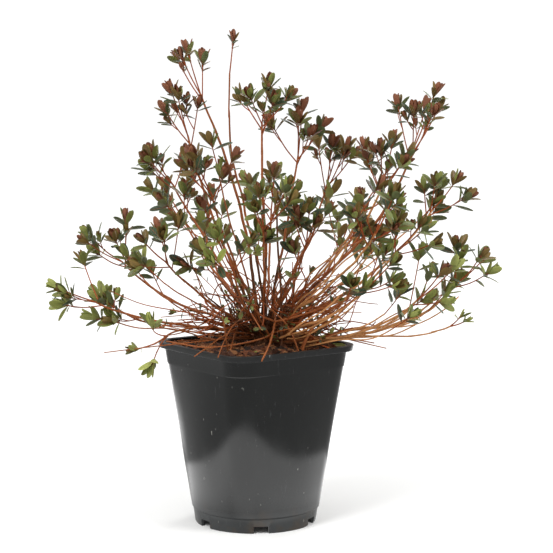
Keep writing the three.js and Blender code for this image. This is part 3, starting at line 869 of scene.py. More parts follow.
def soil_height(x, y, relief):
    """Height of the soil's surface at a place, in the pot's frame."""
    wide = noise.noise(Vector((x * 0.035, y * 0.035, 3.1)))
    fine = noise.noise(Vector((x * 0.16, y * 0.16, 7.7)))
    grit = noise.noise(Vector((x * 0.55, y * 0.55, 1.3)))
    angle = math.atan2(y, x) - math.radians(POT_TURN)
    from_wall = wall_half(SOIL_TOP) * squareness(angle, SOIL_TOP) - math.hypot(x, y)
    full = min(1.0, max(0.0, from_wall / MULCH_SLOPE))
    bed = SOIL_TOP + lerp(MULCH_AT_WALL, MULCH, full)
    return bed + relief * (1.1 * wide + 0.7 * fine) + 0.3 * relief * grit


def build_soil(look):
    floor_top = FLOOR_UNDER + FLOOR_THICK
    edge = wall_half(SOIL_EDGE) - WALL - SOIL_GAP
    foot = wall_half(floor_top) - WALL - COLLAR_STEP - SOIL_GAP
    rings = [(edge * share, SOIL_TOP) for share in np.linspace(0.985, 0.02, look.rings)]
    profile = [(0, floor_top + SOIL_GAP), (foot, floor_top + SOIL_GAP), (edge, SOIL_EDGE), *rings]
    points, faces = lathe([*profile, (0, SOIL_TOP)], look.segments, square=True)
    relief = look.relief / MM
    for point in points:
        if point[2] > SOIL_EDGE + 1:
            point[2] = soil_height(point[0], point[1], relief)
    batch = Batch()
    batch.add(points, faces, points, [0] * len(faces))
    soil = batch.build("soil_bed", [compost_material("potting_compost", look)], origin=POT_AT)
    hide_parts("soil")
    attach(soil, "root")


CHIP_SEED = 29
CHIP_KINDS = ("chip_pale", "chip_red", "chip_brown", "chip_dark")
CHIP_WIDE = (0.34, 0.66)  # half a chip's width as a share of its length
CHIP_THICK = (0.12, 0.26)
CHIP_SIZES = (0.5, 1.6)  # shortest and longest chip as shares of a usual one
CHIP_TIP = 48  # how far a chip may be tipped up, in degrees
CHIP_SHARP = math.radians(20)
WALL_ROOM = 4.0  # what lies on the soil keeps about this far from the wall
FOOT_ROOM = 11.0  # and this far from the middle of the foot


def chip(random, size):
    """An angular splinter of bark, about size long."""
    corners = BOX_CORNERS * (np.array([0.5, random.uniform(*CHIP_WIDE), random.uniform(*CHIP_THICK)]) * size)
    corners += random.uniform(-0.11, 0.11, corners.shape) * size
    corners[:4, 1:] *= random.uniform(0.25, 0.9)
    return corners


def tipped(points, random, most):
    """Points turned to a random heading and tipped up to most degrees."""
    turn = random.uniform(0, 2 * math.pi)
    tip = math.radians(random.uniform(-most, most))
    axis = np.array([math.cos(turn), math.sin(turn), 0.0])
    level = np.array([-math.sin(turn), math.cos(turn), 0.0])
    raised = level * math.cos(tip) + UP * math.sin(tip)
    face = np.cross(axis, raised)
    return points[:, :1] * axis + points[:, 1:2] * raised + points[:, 2:] * face


def soil_spot(random, nearest):
    """A place on the soil, as (x, y) in the pot's frame."""
    while True:
        angle = random.uniform(0, 2 * math.pi)
        reach = squareness(angle - math.radians(POT_TURN), SOIL_TOP)
        edge = (wall_half(SOIL_TOP) - WALL - WALL_ROOM) * reach
        radius = edge * math.sqrt(random.uniform(0, 1))
        x, y = radius * math.cos(angle), radius * math.sin(angle)
        if math.hypot(x - SHRUB_AT[0], y - SHRUB_AT[1]) > nearest:
            return x, y


def build_chips(look):
    random = np.random.default_rng(CHIP_SEED)
    batch = Batch()
    relief = look.relief / MM
    for number in range(look.chips):
        size = look.chip_size / MM * random.uniform(*CHIP_SIZES)
        x, y = soil_spot(random, FOOT_ROOM)
        z = soil_height(x, y, relief) + size * random.uniform(0.02, 0.24)
        points = tipped(chip(random, size), random, CHIP_TIP) + np.array([x, y, z])
        place = points + random.uniform(0, 90, 3)
        batch.add(points, BOX_FACES, place, [number % len(CHIP_KINDS)] * len(BOX_FACES))
    materials = [chip_material(kind, getattr(look, kind)) for kind in CHIP_KINDS]
    chips = batch.build("bark_chips", materials, origin=POT_AT, sharp=CHIP_SHARP)
    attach(chips, "root")


# ---- Leaves --------------------------------------------------------------------------------

STATIONS = np.array([0.0, 0.07, 0.2, 0.38, 0.58, 0.76, 0.9, 0.97, 1.0])
OUTLINE = np.array([0.1, 0.17, 0.52, 0.88, 1.0, 0.9, 0.62, 0.34, 0.05])
COLUMNS = np.array([-1.0, -0.52, -0.05, 0.05, 0.52, 1.0])
LEAF_THICK = 0.35

Leaf = namedtuple("Leaf", "root direction face length width cup curl kind")


def leaf_template():
    """Faces of one leaf and their paints: 0 above, 1 midrib, 2 below."""
    row = len(COLUMNS) + 1
    faces, paints = [], []
    for k in range(len(STATIONS) - 1):
        low, high = k * row, (k + 1) * row
        for j in range(len(COLUMNS) - 1):
            faces.append((low + j, low + j + 1, high + j + 1, high + j))
            paints.append(1 if j == 2 else 0)
        under = row - 1
        faces.append((low, high, high + under, low + under))
        faces.append((low + under, high + under, high + len(COLUMNS) - 1, low + len(COLUMNS) - 1))
        paints.extend([2, 2])
    return np.array(faces), paints


def leaf_points(leaves, random):
    """The points of all leaves and the places that their veins follow."""
    root, ahead, face = (np.array(column) for column in list(zip(*leaves))[:3])
    length, width, cup, curl = (np.array(column)[:, None, None] for column in list(zip(*leaves))[3:7])
    side = np.cross(face, ahead)
    half = width * length / 2
    t = STATIONS[None, :, None]
    v = np.append(COLUMNS, 0.0)[None, None, :]
    wide = half * OUTLINE[None, :, None]
    out = v * wide
    groove = np.where(np.abs(v) < 0.1, 0.05, 0.0) * wide
    rise = cup * wide * np.abs(v) ** 1.6 + curl * length * t**2 - groove
    rise[:, :, -1] -= LEAF_THICK
    bend = length * t * (1 - 0.3 * np.abs(curl) * t)
    points = (
        root[:, None, None, :]
        + ahead[:, None, None, :] * bend[..., None]
        + side[:, None, None, :] * out[..., None]
        + face[:, None, None, :] * rise[..., None]
    )
    mark = random.uniform(0, 60, len(leaves))[:, None, None]
    return points, np.stack(np.broadcast_arrays(v, t, mark), axis=-1)


LEAF_SEED = 503
CUP_LEAN = 17.0  # lean of the innermost leaf, in degrees
SPREAD_LEAN = 70.0  # and of the outermost
CUP_CURL = 0.17  # how far an inner leaf's tip curls in, as a share of its length
SPREAD_CURL = -0.07
LEAN_STRAY = 5.0
LOOSE_LEAN = (50, 80)  # lean of a leaf that stands loose down the shoot
LOOSE_SIZE = (0.8, 1.2)
LOOSE_CURL = (-0.14, 0.06)
INNER_RANK = 0.35  # leaves up to here are young, as a share of those in the rosette
MIDDLE_RANK = 0.7  # and up to here half grown


def rosette(spray, leaves, random):
    """The leaves of one spray: an upright cup, a few that spread below it and loose ones down the shoot."""
    made = []
    length = leaves.length / MM * spray.size
    turn = random.uniform(0, 2 * math.pi)
    for i in range(spray.count + spray.loose):
        loose = i >= spray.count
        rank = min(1.0, i / max(1, spray.count - 1))
        if loose:
            lean = random.uniform(*LOOSE_LEAN)
            root = spray.tip - spray.axis * (6 + 6 * (i - spray.count) + random.uniform(0, 5))
            share = random.uniform(*LOOSE_SIZE)
            curl = random.uniform(*LOOSE_CURL)
        else:
            lean = lerp(CUP_LEAN, SPREAD_LEAN, rank**2.4) + random.uniform(-LEAN_STRAY, LEAN_STRAY)
            root = spray.tip - spray.axis * (0.2 + 0.7 * i)
            share = lerp(0.74, 1.0, min(1, rank * 1.7)) * random.uniform(0.87, 1.12)
            curl = lerp(CUP_CURL, SPREAD_CURL, rank**1.4) + random.uniform(-0.04, 0.04)
        around = turn + GOLDEN_TURN * i + random.uniform(-0.3, 0.3)
        direction = leaned(spray.axis, math.radians(lean), around)
        direction = unit(direction + UP * LEAF_LIFT * (0.4 if loose else 0.8))
        face = unit(spray.axis - direction * np.dot(spray.axis, direction) + UP * 1e-4)
        face = turned(face, direction, random.uniform(-0.35, 0.35))
        face = square_to(face, direction)
        cup = lerp(0.5, 0.16, rank) * random.uniform(0.7, 1.3)
        kind = "inner" if rank < INNER_RANK else "middle" if rank < MIDDLE_RANK else "outer"
        width = leaves.width * random.uniform(0.84, 1.12) * (0.92 if rank < 0.3 else 1)
        paint = "loose" if loose else kind
        made.append(Leaf(root, direction, face, length * share, width, cup, curl, paint))
    return made


TINTS = ("bronze", "russet", "olive", "fresh", "deep")


def tint_of(leaf, spray, random):
    """Which of the plant's leaf colours a leaf has: dealt out by spray, young leaves the most bronze."""
    if leaf.kind == "loose":
        return "deep" if random.uniform() < 0.75 else "olive"
    if leaf.kind == "inner":
        if spray.tint > 0.5:
            return "bronze"
        return "russet" if spray.tint > 0.22 else "fresh"
    if leaf.kind == "middle":
        if spray.tint > 0.8:
            return "bronze" if random.uniform() < 0.6 else "russet"
        if spray.tint > 0.42:
            return "russet" if random.uniform() < 0.65 else "olive"
        return "olive" if spray.tint > 0.2 else "fresh"
    if spray.tint > 0.5:
        return ("russet", "olive", "deep", "deep")[int(random.integers(4))]
    if spray.tint > 0.26:
        return "olive" if random.uniform() < 0.72 else "deep"
    return "fresh" if random.uniform() < 0.55 else "olive"


def leaf_piece(name, leaves, above, below, look, random):
    """Many leaves of one colour as one piece."""
    template, paints = leaf_template()
    points, place = leaf_points(leaves, random)
    each = points.shape[1] * points.shape[2]
    starts = np.arange(len(points)) * each
    batch = Batch()
    faces = (template[None] + starts[:, None, None]).reshape(-1, 4).tolist()
    batch.add(points.reshape(-1, 3), faces, place.reshape(-1, 3), paints * len(points))
    materials = [
        leaf_material(f"{name}_above", above, look.midrib, look.gloss),
        leaf_material("leaf_midrib", look.midrib, look.midrib, 0.5),
        leaf_material(f"{name}_below", below, look.midrib, 0.62),
    ]
    piece = batch.build(name, materials)
    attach(piece, "root")
    return piece


def build_leaves(look, growth):
    random = np.random.default_rng(LEAF_SEED)
    dealt = {tint: [] for tint in TINTS}
    for spray in growth.sprays:
        for one in rosette(spray, look, random):
            dealt[tint_of(one, spray, random)].append(one)
    masses = [f"foliage_{limb.name}" for limb in LIMBS]
    for tint in TINTS:
        below = getattr(look, f"{tint}_below")
        piece = leaf_piece(f"leaves_{tint}", dealt[tint], getattr(look, tint), below, look, random)
        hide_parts(*masses)


# Where each green leaf has come down: its stalk's place, bearing, pitch, length and width.
FALLEN = (
    ((70, -14, 10.5), -4, -4, 21, 0.42),
    ((66, -20, 10), 150, 8, 9, 0.5),
    ((-64, -34, 9.5), 24, 12, 7, 0.6),
    ((-12, -60, 9), -30, 16, 6, 0.6),
    ((4, -62, 9), 40, 14, 6.5, 0.55),
    ((-50, 20, 9.5), 80, 10, 8, 0.5),
)
DRY_LEAVES = 26
DRY_LONG = (8, 15)
DRY_WIDE = (0.34, 0.5)
DRY_PITCH = (-6, 28)
DRY_CURL = (-0.2, 0.25)
FALLEN_SEED = 88
DRY_ROOM = 14.0  # dry leaves keep this far from the middle of the foot


def build_fallen(look):
    """Leaves that have dropped on the chips."""
    random = np.random.default_rng(FALLEN_SEED)
    green = []
    for root, bearing, pitch, long, wide in FALLEN:
        ahead = heading(bearing, pitch)
        face = unit(UP - ahead * ahead[2] + heading(bearing - 90, 0) * 0.3)
        face = square_to(face, ahead)
        green.append(Leaf(np.array(root, dtype=float), ahead, face, long, wide, 0.3, 0.05, "fallen"))
    dry = []
    for _ in range(DRY_LEAVES):
        x, y = soil_spot(random, DRY_ROOM)
        root = np.array([x, y, soil_height(x, y, 3.0) + random.uniform(1.2, 2.6)]) - SHRUB_AT
        ahead = heading(random.uniform(0, 360), random.uniform(*DRY_PITCH))
        face = unit(leaned(UP, random.uniform(0, 0.6), random.uniform(*ANY_WAY)))
        face = square_to(face, ahead)
        long = random.uniform(*DRY_LONG)
        curl = random.uniform(*DRY_CURL)
        dry.append(Leaf(root, ahead, face, long, random.uniform(*DRY_WIDE), 0.5, curl, "fallen"))
    leaf_piece("fallen_green_leaves", green, look.fresh, look.fresh_below, look, random)
    leaf_piece("fallen_dry_leaves", dry, look.dry, look.dry_below, look, random)


# ---- Wood ----------------------------------------------------------------------------------

FOOT_FLARE = 17.0
FOOT_WAIST = 11.0
FOOT_CROWN = 12.5
FOOT_TALL = 38.0
FOOT_UNDER = -0.3
FOOT_LOBES = 5
FOOT_LEAN = 0.03
FOOT_SIDES = 56
BOUGH_RINGS = 56
BOUGH_SIDES = 10
BARKS = ("old", "middle", "young", "shoot", "bud", "pale")
ROUND_FROM = 1.0  # twigs thicker than this have more sides
RELIEF_FROM = 1.2  # and thicker than this they have the bark's relief, finer than on the boughs
TWIG_RELIEF = 0.6
TWIG_KNOTS = 0.7
BUD_TALL = 5.5
BUD_RADII = np.array([0.7, 1.15, 1.5, 1.3, 0.75, 0.15])
BUD_SIDES = 7
OLD_SHARE = 0.38  # how far out along a bough its old dark bark reaches


def bark_relief(depth, knot_gap, seed):
    """Furrows along a limb and a small swelling at each old leaf scar."""

    def relief(ring, along, radii):
        made = np.zeros((len(along), len(ring)))
        for i, s in enumerate(along):
            swelling = max(0.0, math.cos(2 * math.pi * (s + seed) / knot_gap)) ** 12
            for j, (x, y) in enumerate(ring):
                furrow = noise.noise(Vector((x * 1.7, y * 1.7, s * 0.05 + seed)))
                flake = noise.noise(Vector((x * 3.1, y * 3.1, s * 0.3 + seed)))
                made[i, j] = radii[i] * (depth * (furrow + 0.5 * flake) + 0.12 * swelling)
        return made

    return relief


def foot_body(depth):
    """The short woody foot: fused stems that flare where they meet the soil."""
    radii = (FOOT_FLARE, FOOT_FLARE * 0.78, FOOT_WAIST, FOOT_CROWN, FOOT_CROWN * 0.7, 0)
    levels = (FOOT_UNDER, FOOT_TALL * 0.12, FOOT_TALL * 0.35, FOOT_TALL * 0.76, FOOT_TALL * 0.93, FOOT_TALL)
    heights = np.linspace(0.0, FOOT_TALL - 0.5, 34)
    rings = [(float(np.interp(z, levels, radii)), float(z)) for z in heights]
    profile = [(0, FOOT_UNDER), (FOOT_FLARE, FOOT_UNDER), *rings, (0, FOOT_TALL)]
    points, faces = lathe(profile, FOOT_SIDES)
    for point in points:
        x, y, z = point
        angle = math.atan2(y, x)
        fade = max(0.0, 1 - z / 20)
        swell = 1 + 0.12 * fade * math.cos(FOOT_LOBES * angle)
        stems = 0.13 * abs(math.sin(4.5 * angle + z * 0.03)) - 0.07
        bark = noise.noise(Vector((math.cos(angle) * 3, math.sin(angle) * 3, z * 0.07)))
        swell += (stems + depth * bark) * min(1.0, max(0.0, (z + 3) / 6))
        point[0] = x * swell + FOOT_LEAN * z
        point[1] = y * swell
    return points, faces


def build_wood(look):
    """The foot and the boughs, with the bark's relief."""
    batch = Batch()
    points, faces = foot_body(look.relief)
    batch.add(points, faces, points, [0] * len(faces))
    for index, limb in enumerate(LIMBS):
        line = wandering(limb_line(limb, BOUGH_RINGS), WANDER, index * 7.3)
        share = np.linspace(0, 1, len(line))
        radii = limb.girth * lerp(1, TIP_SHARE, share)
        relief = bark_relief(look.relief, look.knot_gap / MM, index * 3.7)
        points, faces, place = tube(line, radii, BOUGH_SIDES, index * 137.0, relief)
        old = int(OLD_SHARE * BOUGH_RINGS) * BOUGH_SIDES
        # Painted light: boughs on the right are a shade paler all along, old part included, for the light on
        # that side.
        paint = 1 if on_right(limb) else 0
        batch.add(points, faces, place, [paint] * old + [paint + 1] * (len(faces) - old))
    wood = batch.build("wood", [bark_material(kind, look) for kind in ("old", "middle", "pale")])
    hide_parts("foot", *(f"bough_{limb.name}" for limb in LIMBS))
    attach(wood, "root")


def build_twigs(look, growth):
    """Stems, shoots and fine twigs, and the bud in the middle of each rosette."""
    batch = Batch()
    for number, twig in enumerate(growth.twigs):
        sides = 8 if twig.radii[0] > ROUND_FROM else 6
        paint = BARKS.index(twig.paint)
        relief = None
        if twig.radii[0] > RELIEF_FROM:
            knots = look.knot_gap / MM * TWIG_KNOTS
            relief = bark_relief(look.relief * TWIG_RELIEF, knots, number * 1.3)
        add_tube(batch, twig.points, twig.radii, sides, paint, number * 53.0, relief)
    for number, spray in enumerate(growth.sprays):
        rise = np.linspace(-0.6, 1, len(BUD_RADII))[:, None]
        line = spray.tip + spray.axis * rise * (BUD_TALL * spray.size)
        add_tube(batch, line, BUD_RADII * spray.size, BUD_SIDES, BARKS.index("bud"), number * 31.0)
    twigs = batch.build("twigs", [bark_material(kind, look) for kind in BARKS])
    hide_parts(*(f"foliage_{limb.name}" for limb in LIMBS))
    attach(twigs, "root")


# ---- Materials -----------------------------------------------------------------------------


class Wiring:
    """Adds nodes to a tree and joins them."""

    def __init__(self, tree):
        self.tree = tree

    def set(self, socket, value):
        if isinstance(value, bpy.types.NodeSocket):
            self.tree.links.new(value, socket)
        else:
            socket.default_value = value

    def add(self, kind, inputs=None, **settings):
        node = self.tree.nodes.new(kind)
        for name, value in settings.items():
            setattr(node, name, value)
        for name, value in (inputs or {}).items():
            self.set(node.inputs[name], value)
        return node

    def noise(self, vector, scale, detail=3.0, roughness=0.55):
        wanted = {"Vector": vector, "Scale": scale, "Detail": detail, "Roughness": roughness}
        return self.add("ShaderNodeTexNoise", wanted).outputs["Fac"]

    def stretched(self, vector, scale):
        node = self.add("ShaderNodeVectorMath", {0: vector, 1: scale}, operation="MULTIPLY")
        return node.outputs["Vector"]

    def spread(self, value, low, high, to_low=0.0, to_high=1.0):
        """value taken from low..high to to_low..to_high, and held there."""
        wanted = {"Value": value, "From Min": low, "From Max": high, "To Min": to_low, "To Max": to_high}
        return self.add("ShaderNodeMapRange", wanted).outputs["Result"]

    def math(self, operation, a, b=0.0):
        return self.add("ShaderNodeMath", {0: a, 1: b}, operation=operation).outputs["Value"]

    def times(self, a, b):
        return self.math("MULTIPLY", a, b)

    def mixed(self, factor, a, b):
        return self.add("ShaderNodeMix", {0: factor, 6: a, 7: b}, data_type="RGBA").outputs[2]

    def layered(self, base, *layers):
        """A colour with others laid over it, each by a mask and the share of it that shows."""
        for mask, most, colour in layers:
            base = self.mixed(self.times(mask, most), base, colour)
        return base

    def run(self, group, inputs):
        return self.add("ShaderNodeGroup", inputs, node_tree=group).outputs

    def parted(self, vector):
        return self.add("ShaderNodeSeparateXYZ", {"Vector": vector}).outputs


def effect(name, setting, default, wire_up):
    """A shader node group, built once: masks and heights from a place and one setting of its own."""
    found = bpy.data.node_groups.get(name)
    if found:
        return found
    group = bpy.data.node_groups.new(name, "ShaderNodeTree")
    group.interface.new_socket("Place", in_out="INPUT", socket_type="NodeSocketVector")
    own = group.interface.new_socket(setting, in_out="INPUT", socket_type="NodeSocketFloat")
    own.default_value = default
    wiring = Wiring(group)
    made = wire_up(wiring, wiring.add("NodeGroupInput").outputs)
    for label in made:
        group.interface.new_socket(label, in_out="OUTPUT", socket_type="NodeSocketFloat")
    wiring.add("NodeGroupOutput", made)
    return group


def limb_grain():
    """Streaks, flakes and pale specks that run along a limb."""

    def wire_up(w, given):
        place = given["Place"]
        streak = w.noise(w.stretched(place, (0.9, 0.9, 0.11)), given["Streaks"], 4.0, 0.6)
        tone = w.noise(w.stretched(place, (0.0, 0.0, 0.013)), 1.0, 1.0)
        flake = w.noise(w.stretched(place, (1.0, 1.0, 0.35)), 2.4, 2.0)
        speck = w.noise(w.stretched(place, (2.0, 2.0, 1.2)), 1.9, 0.0)
        return {
            "Streak": w.spread(streak, 0.34, 0.66),
            "Tone": w.spread(tone, 0.3, 0.7),
            "Speck": w.spread(speck, 0.7, 0.76),
            "Height": w.math("ADD", streak, w.times(flake, 0.6)),
        }

    return effect("limb_grain", "Streaks", 1.0, wire_up)


def leaf_veins():
    """Side veins that slant from the midrib, a soft mottle, a tone for each leaf, and its foot and rim."""

    def wire_up(w, given):
        across, along = (w.parted(given["Place"])[i] for i in range(2))
        aside = w.math("ABSOLUTE", across)
        slant = w.times(aside, 0.16)
        phase = w.times(w.math("SUBTRACT", along, slant), given["Veins"])
        wave = w.math("ABSOLUTE", w.math("SUBTRACT", w.math("FRACT", phase), 0.5))
        rib = w.spread(wave, 0.4, 0.5)
        speckle = w.noise(w.stretched(given["Place"], (1.3, 3.1, 1.0)), 1.0, 3.0)
        own = w.noise(w.stretched(given["Place"], (0.0, 0.0, 1.0)), 1.3, 0.0)
        return {
            "Vein": w.times(rib, w.spread(aside, 0.75, 1.0, 1.0, 0.2)),
            "Mottle": w.spread(speckle, 0.3, 0.7),
            "Tone": w.spread(own, 0.34, 0.66),
            "Foot": w.spread(w.math("ADD", along, w.times(speckle, 0.2)), 0.46, 0.12),
            "Rim": w.spread(aside, 0.62, 0.95),
            "Pillow": w.math("SUBTRACT", w.times(speckle, 0.3), w.times(rib, 0.6)),
        }

    return effect("leaf_veins", "Veins", 7.0, wire_up)


def crumbs():
    """The grain of bark chips and compost: fibres, pits and light and dark crumbs."""

    def wire_up(w, given):
        fibre = w.noise(w.stretched(given["Place"], (0.25, 1.4, 1.4)), given["Fineness"], 4.0, 0.65)
        crumb = w.noise(given["Place"], w.times(given["Fineness"], 2.3), 3.0)
        return {
            "Light": w.spread(fibre, 0.3, 0.72),
            "Dark": w.spread(crumb, 0.52, 0.66),
            "Height": w.math("ADD", fibre, w.times(crumb, 0.5)),
        }

    return effect("crumbs", "Fineness", 1.0, wire_up)


DUST_AND_REFLECTION_FADE = 70.0  # over this height the film of dust and painted reflection thins out to nothing


def handling_marks():
    """What a nursery pot picks up: dust at its foot, smudges, fine scratches and small pale scuffs. The film
    low on the wall and the dust on the foot ring are dust and a painted reflection of the pale floor.
    """

    def wire_up(w, given):
        place = given["Place"]
        height = w.parted(place)[2]
        # The film low on the wall: dust and a painted reflection of the pale floor, lighter below an uneven
        # line.
        cloud = w.times(w.math("SUBTRACT", w.noise(place, 0.02, 3.0), 0.5), DUST_AND_REFLECTION_FADE)
        below = w.math("SUBTRACT", w.math("ADD", given["Dust height"], cloud), height)
        dust = w.spread(below, 0.0, DUST_AND_REFLECTION_FADE)
        smudge = w.noise(w.stretched(place, (1.0, 1.0, 0.5)), 0.035, 4.0, 0.6)
        scratch = w.noise(w.stretched(place, (1.0, 1.0, 0.16)), 0.34, 2.0)
        fleck = w.noise(w.stretched(place, (1.0, 1.0, 0.6)), 0.23, 1.0)
        patch = w.noise(place, 0.03, 1.0)
        stain = w.noise(place, 0.05, 3.0)
        return {
            "Dust": w.times(dust, w.spread(smudge, 0.25, 0.7, 0.8, 1.0)),
            "Smudge": w.spread(smudge, 0.35, 0.65),
            "Scratch": w.spread(scratch, 0.66, 0.8),
            "Scuff": w.times(w.spread(fleck, 0.735, 0.77), w.spread(patch, 0.5, 0.62)),
            "Dirt": w.times(w.spread(stain, 0.5, 0.68), w.spread(height, 34.0, 4.0)),
            # Dust and a painted reflection on the foot ring.
            "Foot dust": w.times(w.spread(height, 24.0, 15.0), w.spread(smudge, 0.2, 0.7, 0.75, 1.0)),
            "Height": w.noise(place, 0.9, 2.0),
        }

    return effect("handling_marks", "Dust height", 80.0, wire_up)


def new_material(name):
    """A bare material: its wiring, its Principled shader and the place its patterns follow."""
    material = bpy.data.materials.new(name)
    material.use_nodes = True
    material.node_tree.nodes.clear()
    wiring = Wiring(material.node_tree)
    shader = wiring.add("ShaderNodeBsdfPrincipled")
    end = wiring.add("ShaderNodeOutputMaterial")
    wiring.set(end.inputs["Surface"], shader.outputs["BSDF"])
    place = wiring.add("ShaderNodeAttribute", attribute_name="place").outputs["Vector"]
    return material, wiring, shader, place


def surfaced(w, shader, base, rough, specular, height, distance, strength):
    """Sets what a shader shows: its colour, roughness, gloss and bump."""
    bump = w.add("ShaderNodeBump", {"Height": height, "Distance": distance, "Strength": strength})
    w.set(shader.inputs["Base Color"], base)
    w.set(shader.inputs["Roughness"], rough)
    w.set(shader.inputs["Specular IOR Level"], specular)
    w.set(shader.inputs["Normal"], bump.outputs["Normal"])


def toned(colour, share):
    """A colour made lighter or darker by a share."""
    return (*(min(1.0, c * share) for c in colour[:3]), 1.0)


def plain(colour):
    return (*colour[:3], 1.0)


def leaf_material(name, colour, rib, gloss):
    found = bpy.data.materials.get(name)
    if found:
        return found
    material, w, shader, place = new_material(name)
    veins = w.run(leaf_veins(), {"Place": place})
    dark = w.mixed(veins["Mottle"], toned(colour, 0.5), toned(colour, 0.85))
    light = w.mixed(veins["Mottle"], toned(colour, 0.95), toned(colour, 1.28))
    base = w.layered(
        w.mixed(veins["Tone"], dark, light),
        (veins["Rim"], 0.3, toned(colour, 1.5)),
        (veins["Vein"], 0.3, toned(rib, 1.3)),
        (veins["Foot"], 0.62, toned(rib, 0.72)),
    )
    rough = w.spread(veins["Mottle"], 0.0, 1.0, gloss - 0.07, gloss + 0.08)
    surfaced(w, shader, base, rough, 0.36, veins["Pillow"], 0.0004, 0.5)
    return material


def bark_material(kind, look):
    found = bpy.data.materials.get(f"bark_{kind}")
    if found:
        return found
    material, w, shader, place = new_material(f"bark_{kind}")
    colour = getattr(look, kind)
    grain = w.run(limb_grain(), {"Place": place})
    base = w.layered(
        w.mixed(grain["Streak"], toned(colour, 0.5), toned(colour, 1.15)),
        (grain["Tone"], 0.35, toned(colour, 1.55)),
        (grain["Speck"], 0.5, plain(look.speck)),
    )
    rough = w.spread(grain["Streak"], 0.0, 1.0, 0.72, 0.45)
    surfaced(w, shader, base, rough, 0.25, grain["Height"], 0.0006, 0.6)
    return material


def compost_material(name, look):
    material, w, shader, place = new_material(name)
    grain = w.run(crumbs(), {"Place": place, "Fineness": 0.5})
    base = w.mixed(grain["Light"], toned(look.peat, 0.45), toned(look.peat, 1.5))
    base = w.mixed(grain["Dark"], base, toned(look.peat, 0.2))
    rough = w.spread(grain["Light"], 0.0, 1.0, 0.95, 0.8)
    surfaced(w, shader, base, rough, 0.5, grain["Height"], 0.002, 0.9)
    return material


def chip_material(name, colour):
    material, w, shader, place = new_material(name)
    grain = w.run(crumbs(), {"Place": place, "Fineness": 0.8})
    base = w.mixed(grain["Light"], toned(colour, 0.55), toned(colour, 1.3))
    base = w.layered(base, (grain["Dark"], 0.6, toned(colour, 0.3)))
    rough = w.spread(grain["Light"], 0.0, 1.0, 0.9, 0.7)
    surfaced(w, shader, base, rough, 0.5, grain["Height"], 0.0008, 0.7)
    return material


def pot_plastic(name, look, colour, gloss):
    material, w, shader, place = new_material(name)
    marks = w.run(handling_marks(), {"Place": place, "Dust height": look.dust_height / MM})
    dust = plain(look.dust)
    base = w.layered(
        plain(colour),
        (marks["Smudge"], 0.4, toned(colour, 1.5)),
        # Film low on the wall: dust and a painted reflection of the pale floor.
        (marks["Dust"], look.dust_and_reflection_share, dust),
        # Foot ring: dust and a painted reflection of the pale floor.
        (marks["Foot dust"], look.foot_dust, dust),
        (marks["Scratch"], 0.12, dust),
        (marks["Scuff"], 0.55, plain(look.scuff)),
        (marks["Dirt"], 0.4, plain(look.dirt)),
    )
    rough = w.spread(marks["Smudge"], 0.0, 1.0, gloss - 0.04, gloss + 0.05)
    rough = w.math("ADD", rough, w.times(marks["Dirt"], 0.1))
    surfaced(w, shader, base, rough, 0.5, marks["Height"], 0.0002, 0.12)
    return material


# ---- Sizes and colours that a user would change ----------------------------------------------


def shade(name, description, red, green, blue):
    """A colour property from everyday 0 to 255 numbers."""
    linear = tuple((c / 255) ** 2.2 for c in (red, green, blue))
    return FloatVectorProperty(
        name=name, description=description, subtype="COLOR", size=3, min=0, max=1, default=linear
    )


def length(name, description, default):
    return FloatProperty(name=name, description=description, unit="LENGTH", min=0, default=default)


def share(name, description, default):
    return FloatProperty(name=name, description=description, subtype="FACTOR", min=0, max=1, default=default)


def power(name, description, default):
    return FloatProperty(name=name, description=description, subtype="POWER", min=0, default=default)


def amount(name, description, default):
    return IntProperty(name=name, description=description, min=0, default=default)


class AzaleaPotLook(PropertyGroup):
    """The nursery pot."""

    segments: amount("Segments", "Steps round the pot's wall", 176)
    rounding: length("Rounding", "Radius of the moulded edges", 0.0009)
    gloss: share("Roughness", "How dull the wall's gloss is", 0.13)
    plastic: shade("Plastic", "Colour of the wall", 17, 19, 18)
    # Lighter than the wall: a painted highlight along the rim.
    lip_plastic: shade("Lip", "Colour of the handled lip", 27, 28, 28)
    dust: shade("Dust", "Colour of the dry film near the foot", 126, 129, 130)
    # The film is dust and a painted reflection of the pale floor.
    dust_and_reflection_share: share("Dust and reflection film", "How thick the film is at the foot", 0.1)
    # Dust and a painted reflection on the foot ring.
    foot_dust: share("Foot dust", "How thick the dust lies on the foot ring", 0.2)
    dust_height: length("Dust height", "How high the film of dust reaches", 0.066)
    scuff: shade("Scuffs", "Colour of the small scuffs", 176, 176, 168)
    dirt: shade("Dirt", "Colour of the soil stains near the foot", 92, 74, 54)


class AzaleaSoilLook(PropertyGroup):
    """The potting soil and its bark chips."""

    rings: amount("Rings", "Rings across the surface", 46)
    segments: amount("Segments", "Steps round the surface", 168)
    relief: length("Relief", "Height of the lumps", 0.0034)
    chips: amount("Chips", "Number of bark chips", 1500)
    chip_size: length("Chip size", "Length of a usual chip", 0.0066)
    peat: shade("Compost", "Colour between the chips", 50, 32, 22)
    chip_pale: shade("Pale chips", "Colour of dry chips", 150, 100, 62)
    chip_red: shade("Red chips", "Colour of fresh chips", 118, 68, 40)
    chip_brown: shade("Brown chips", "Colour of damp chips", 84, 50, 32)
    chip_dark: shade("Dark chips", "Colour of old chips", 50, 33, 24)


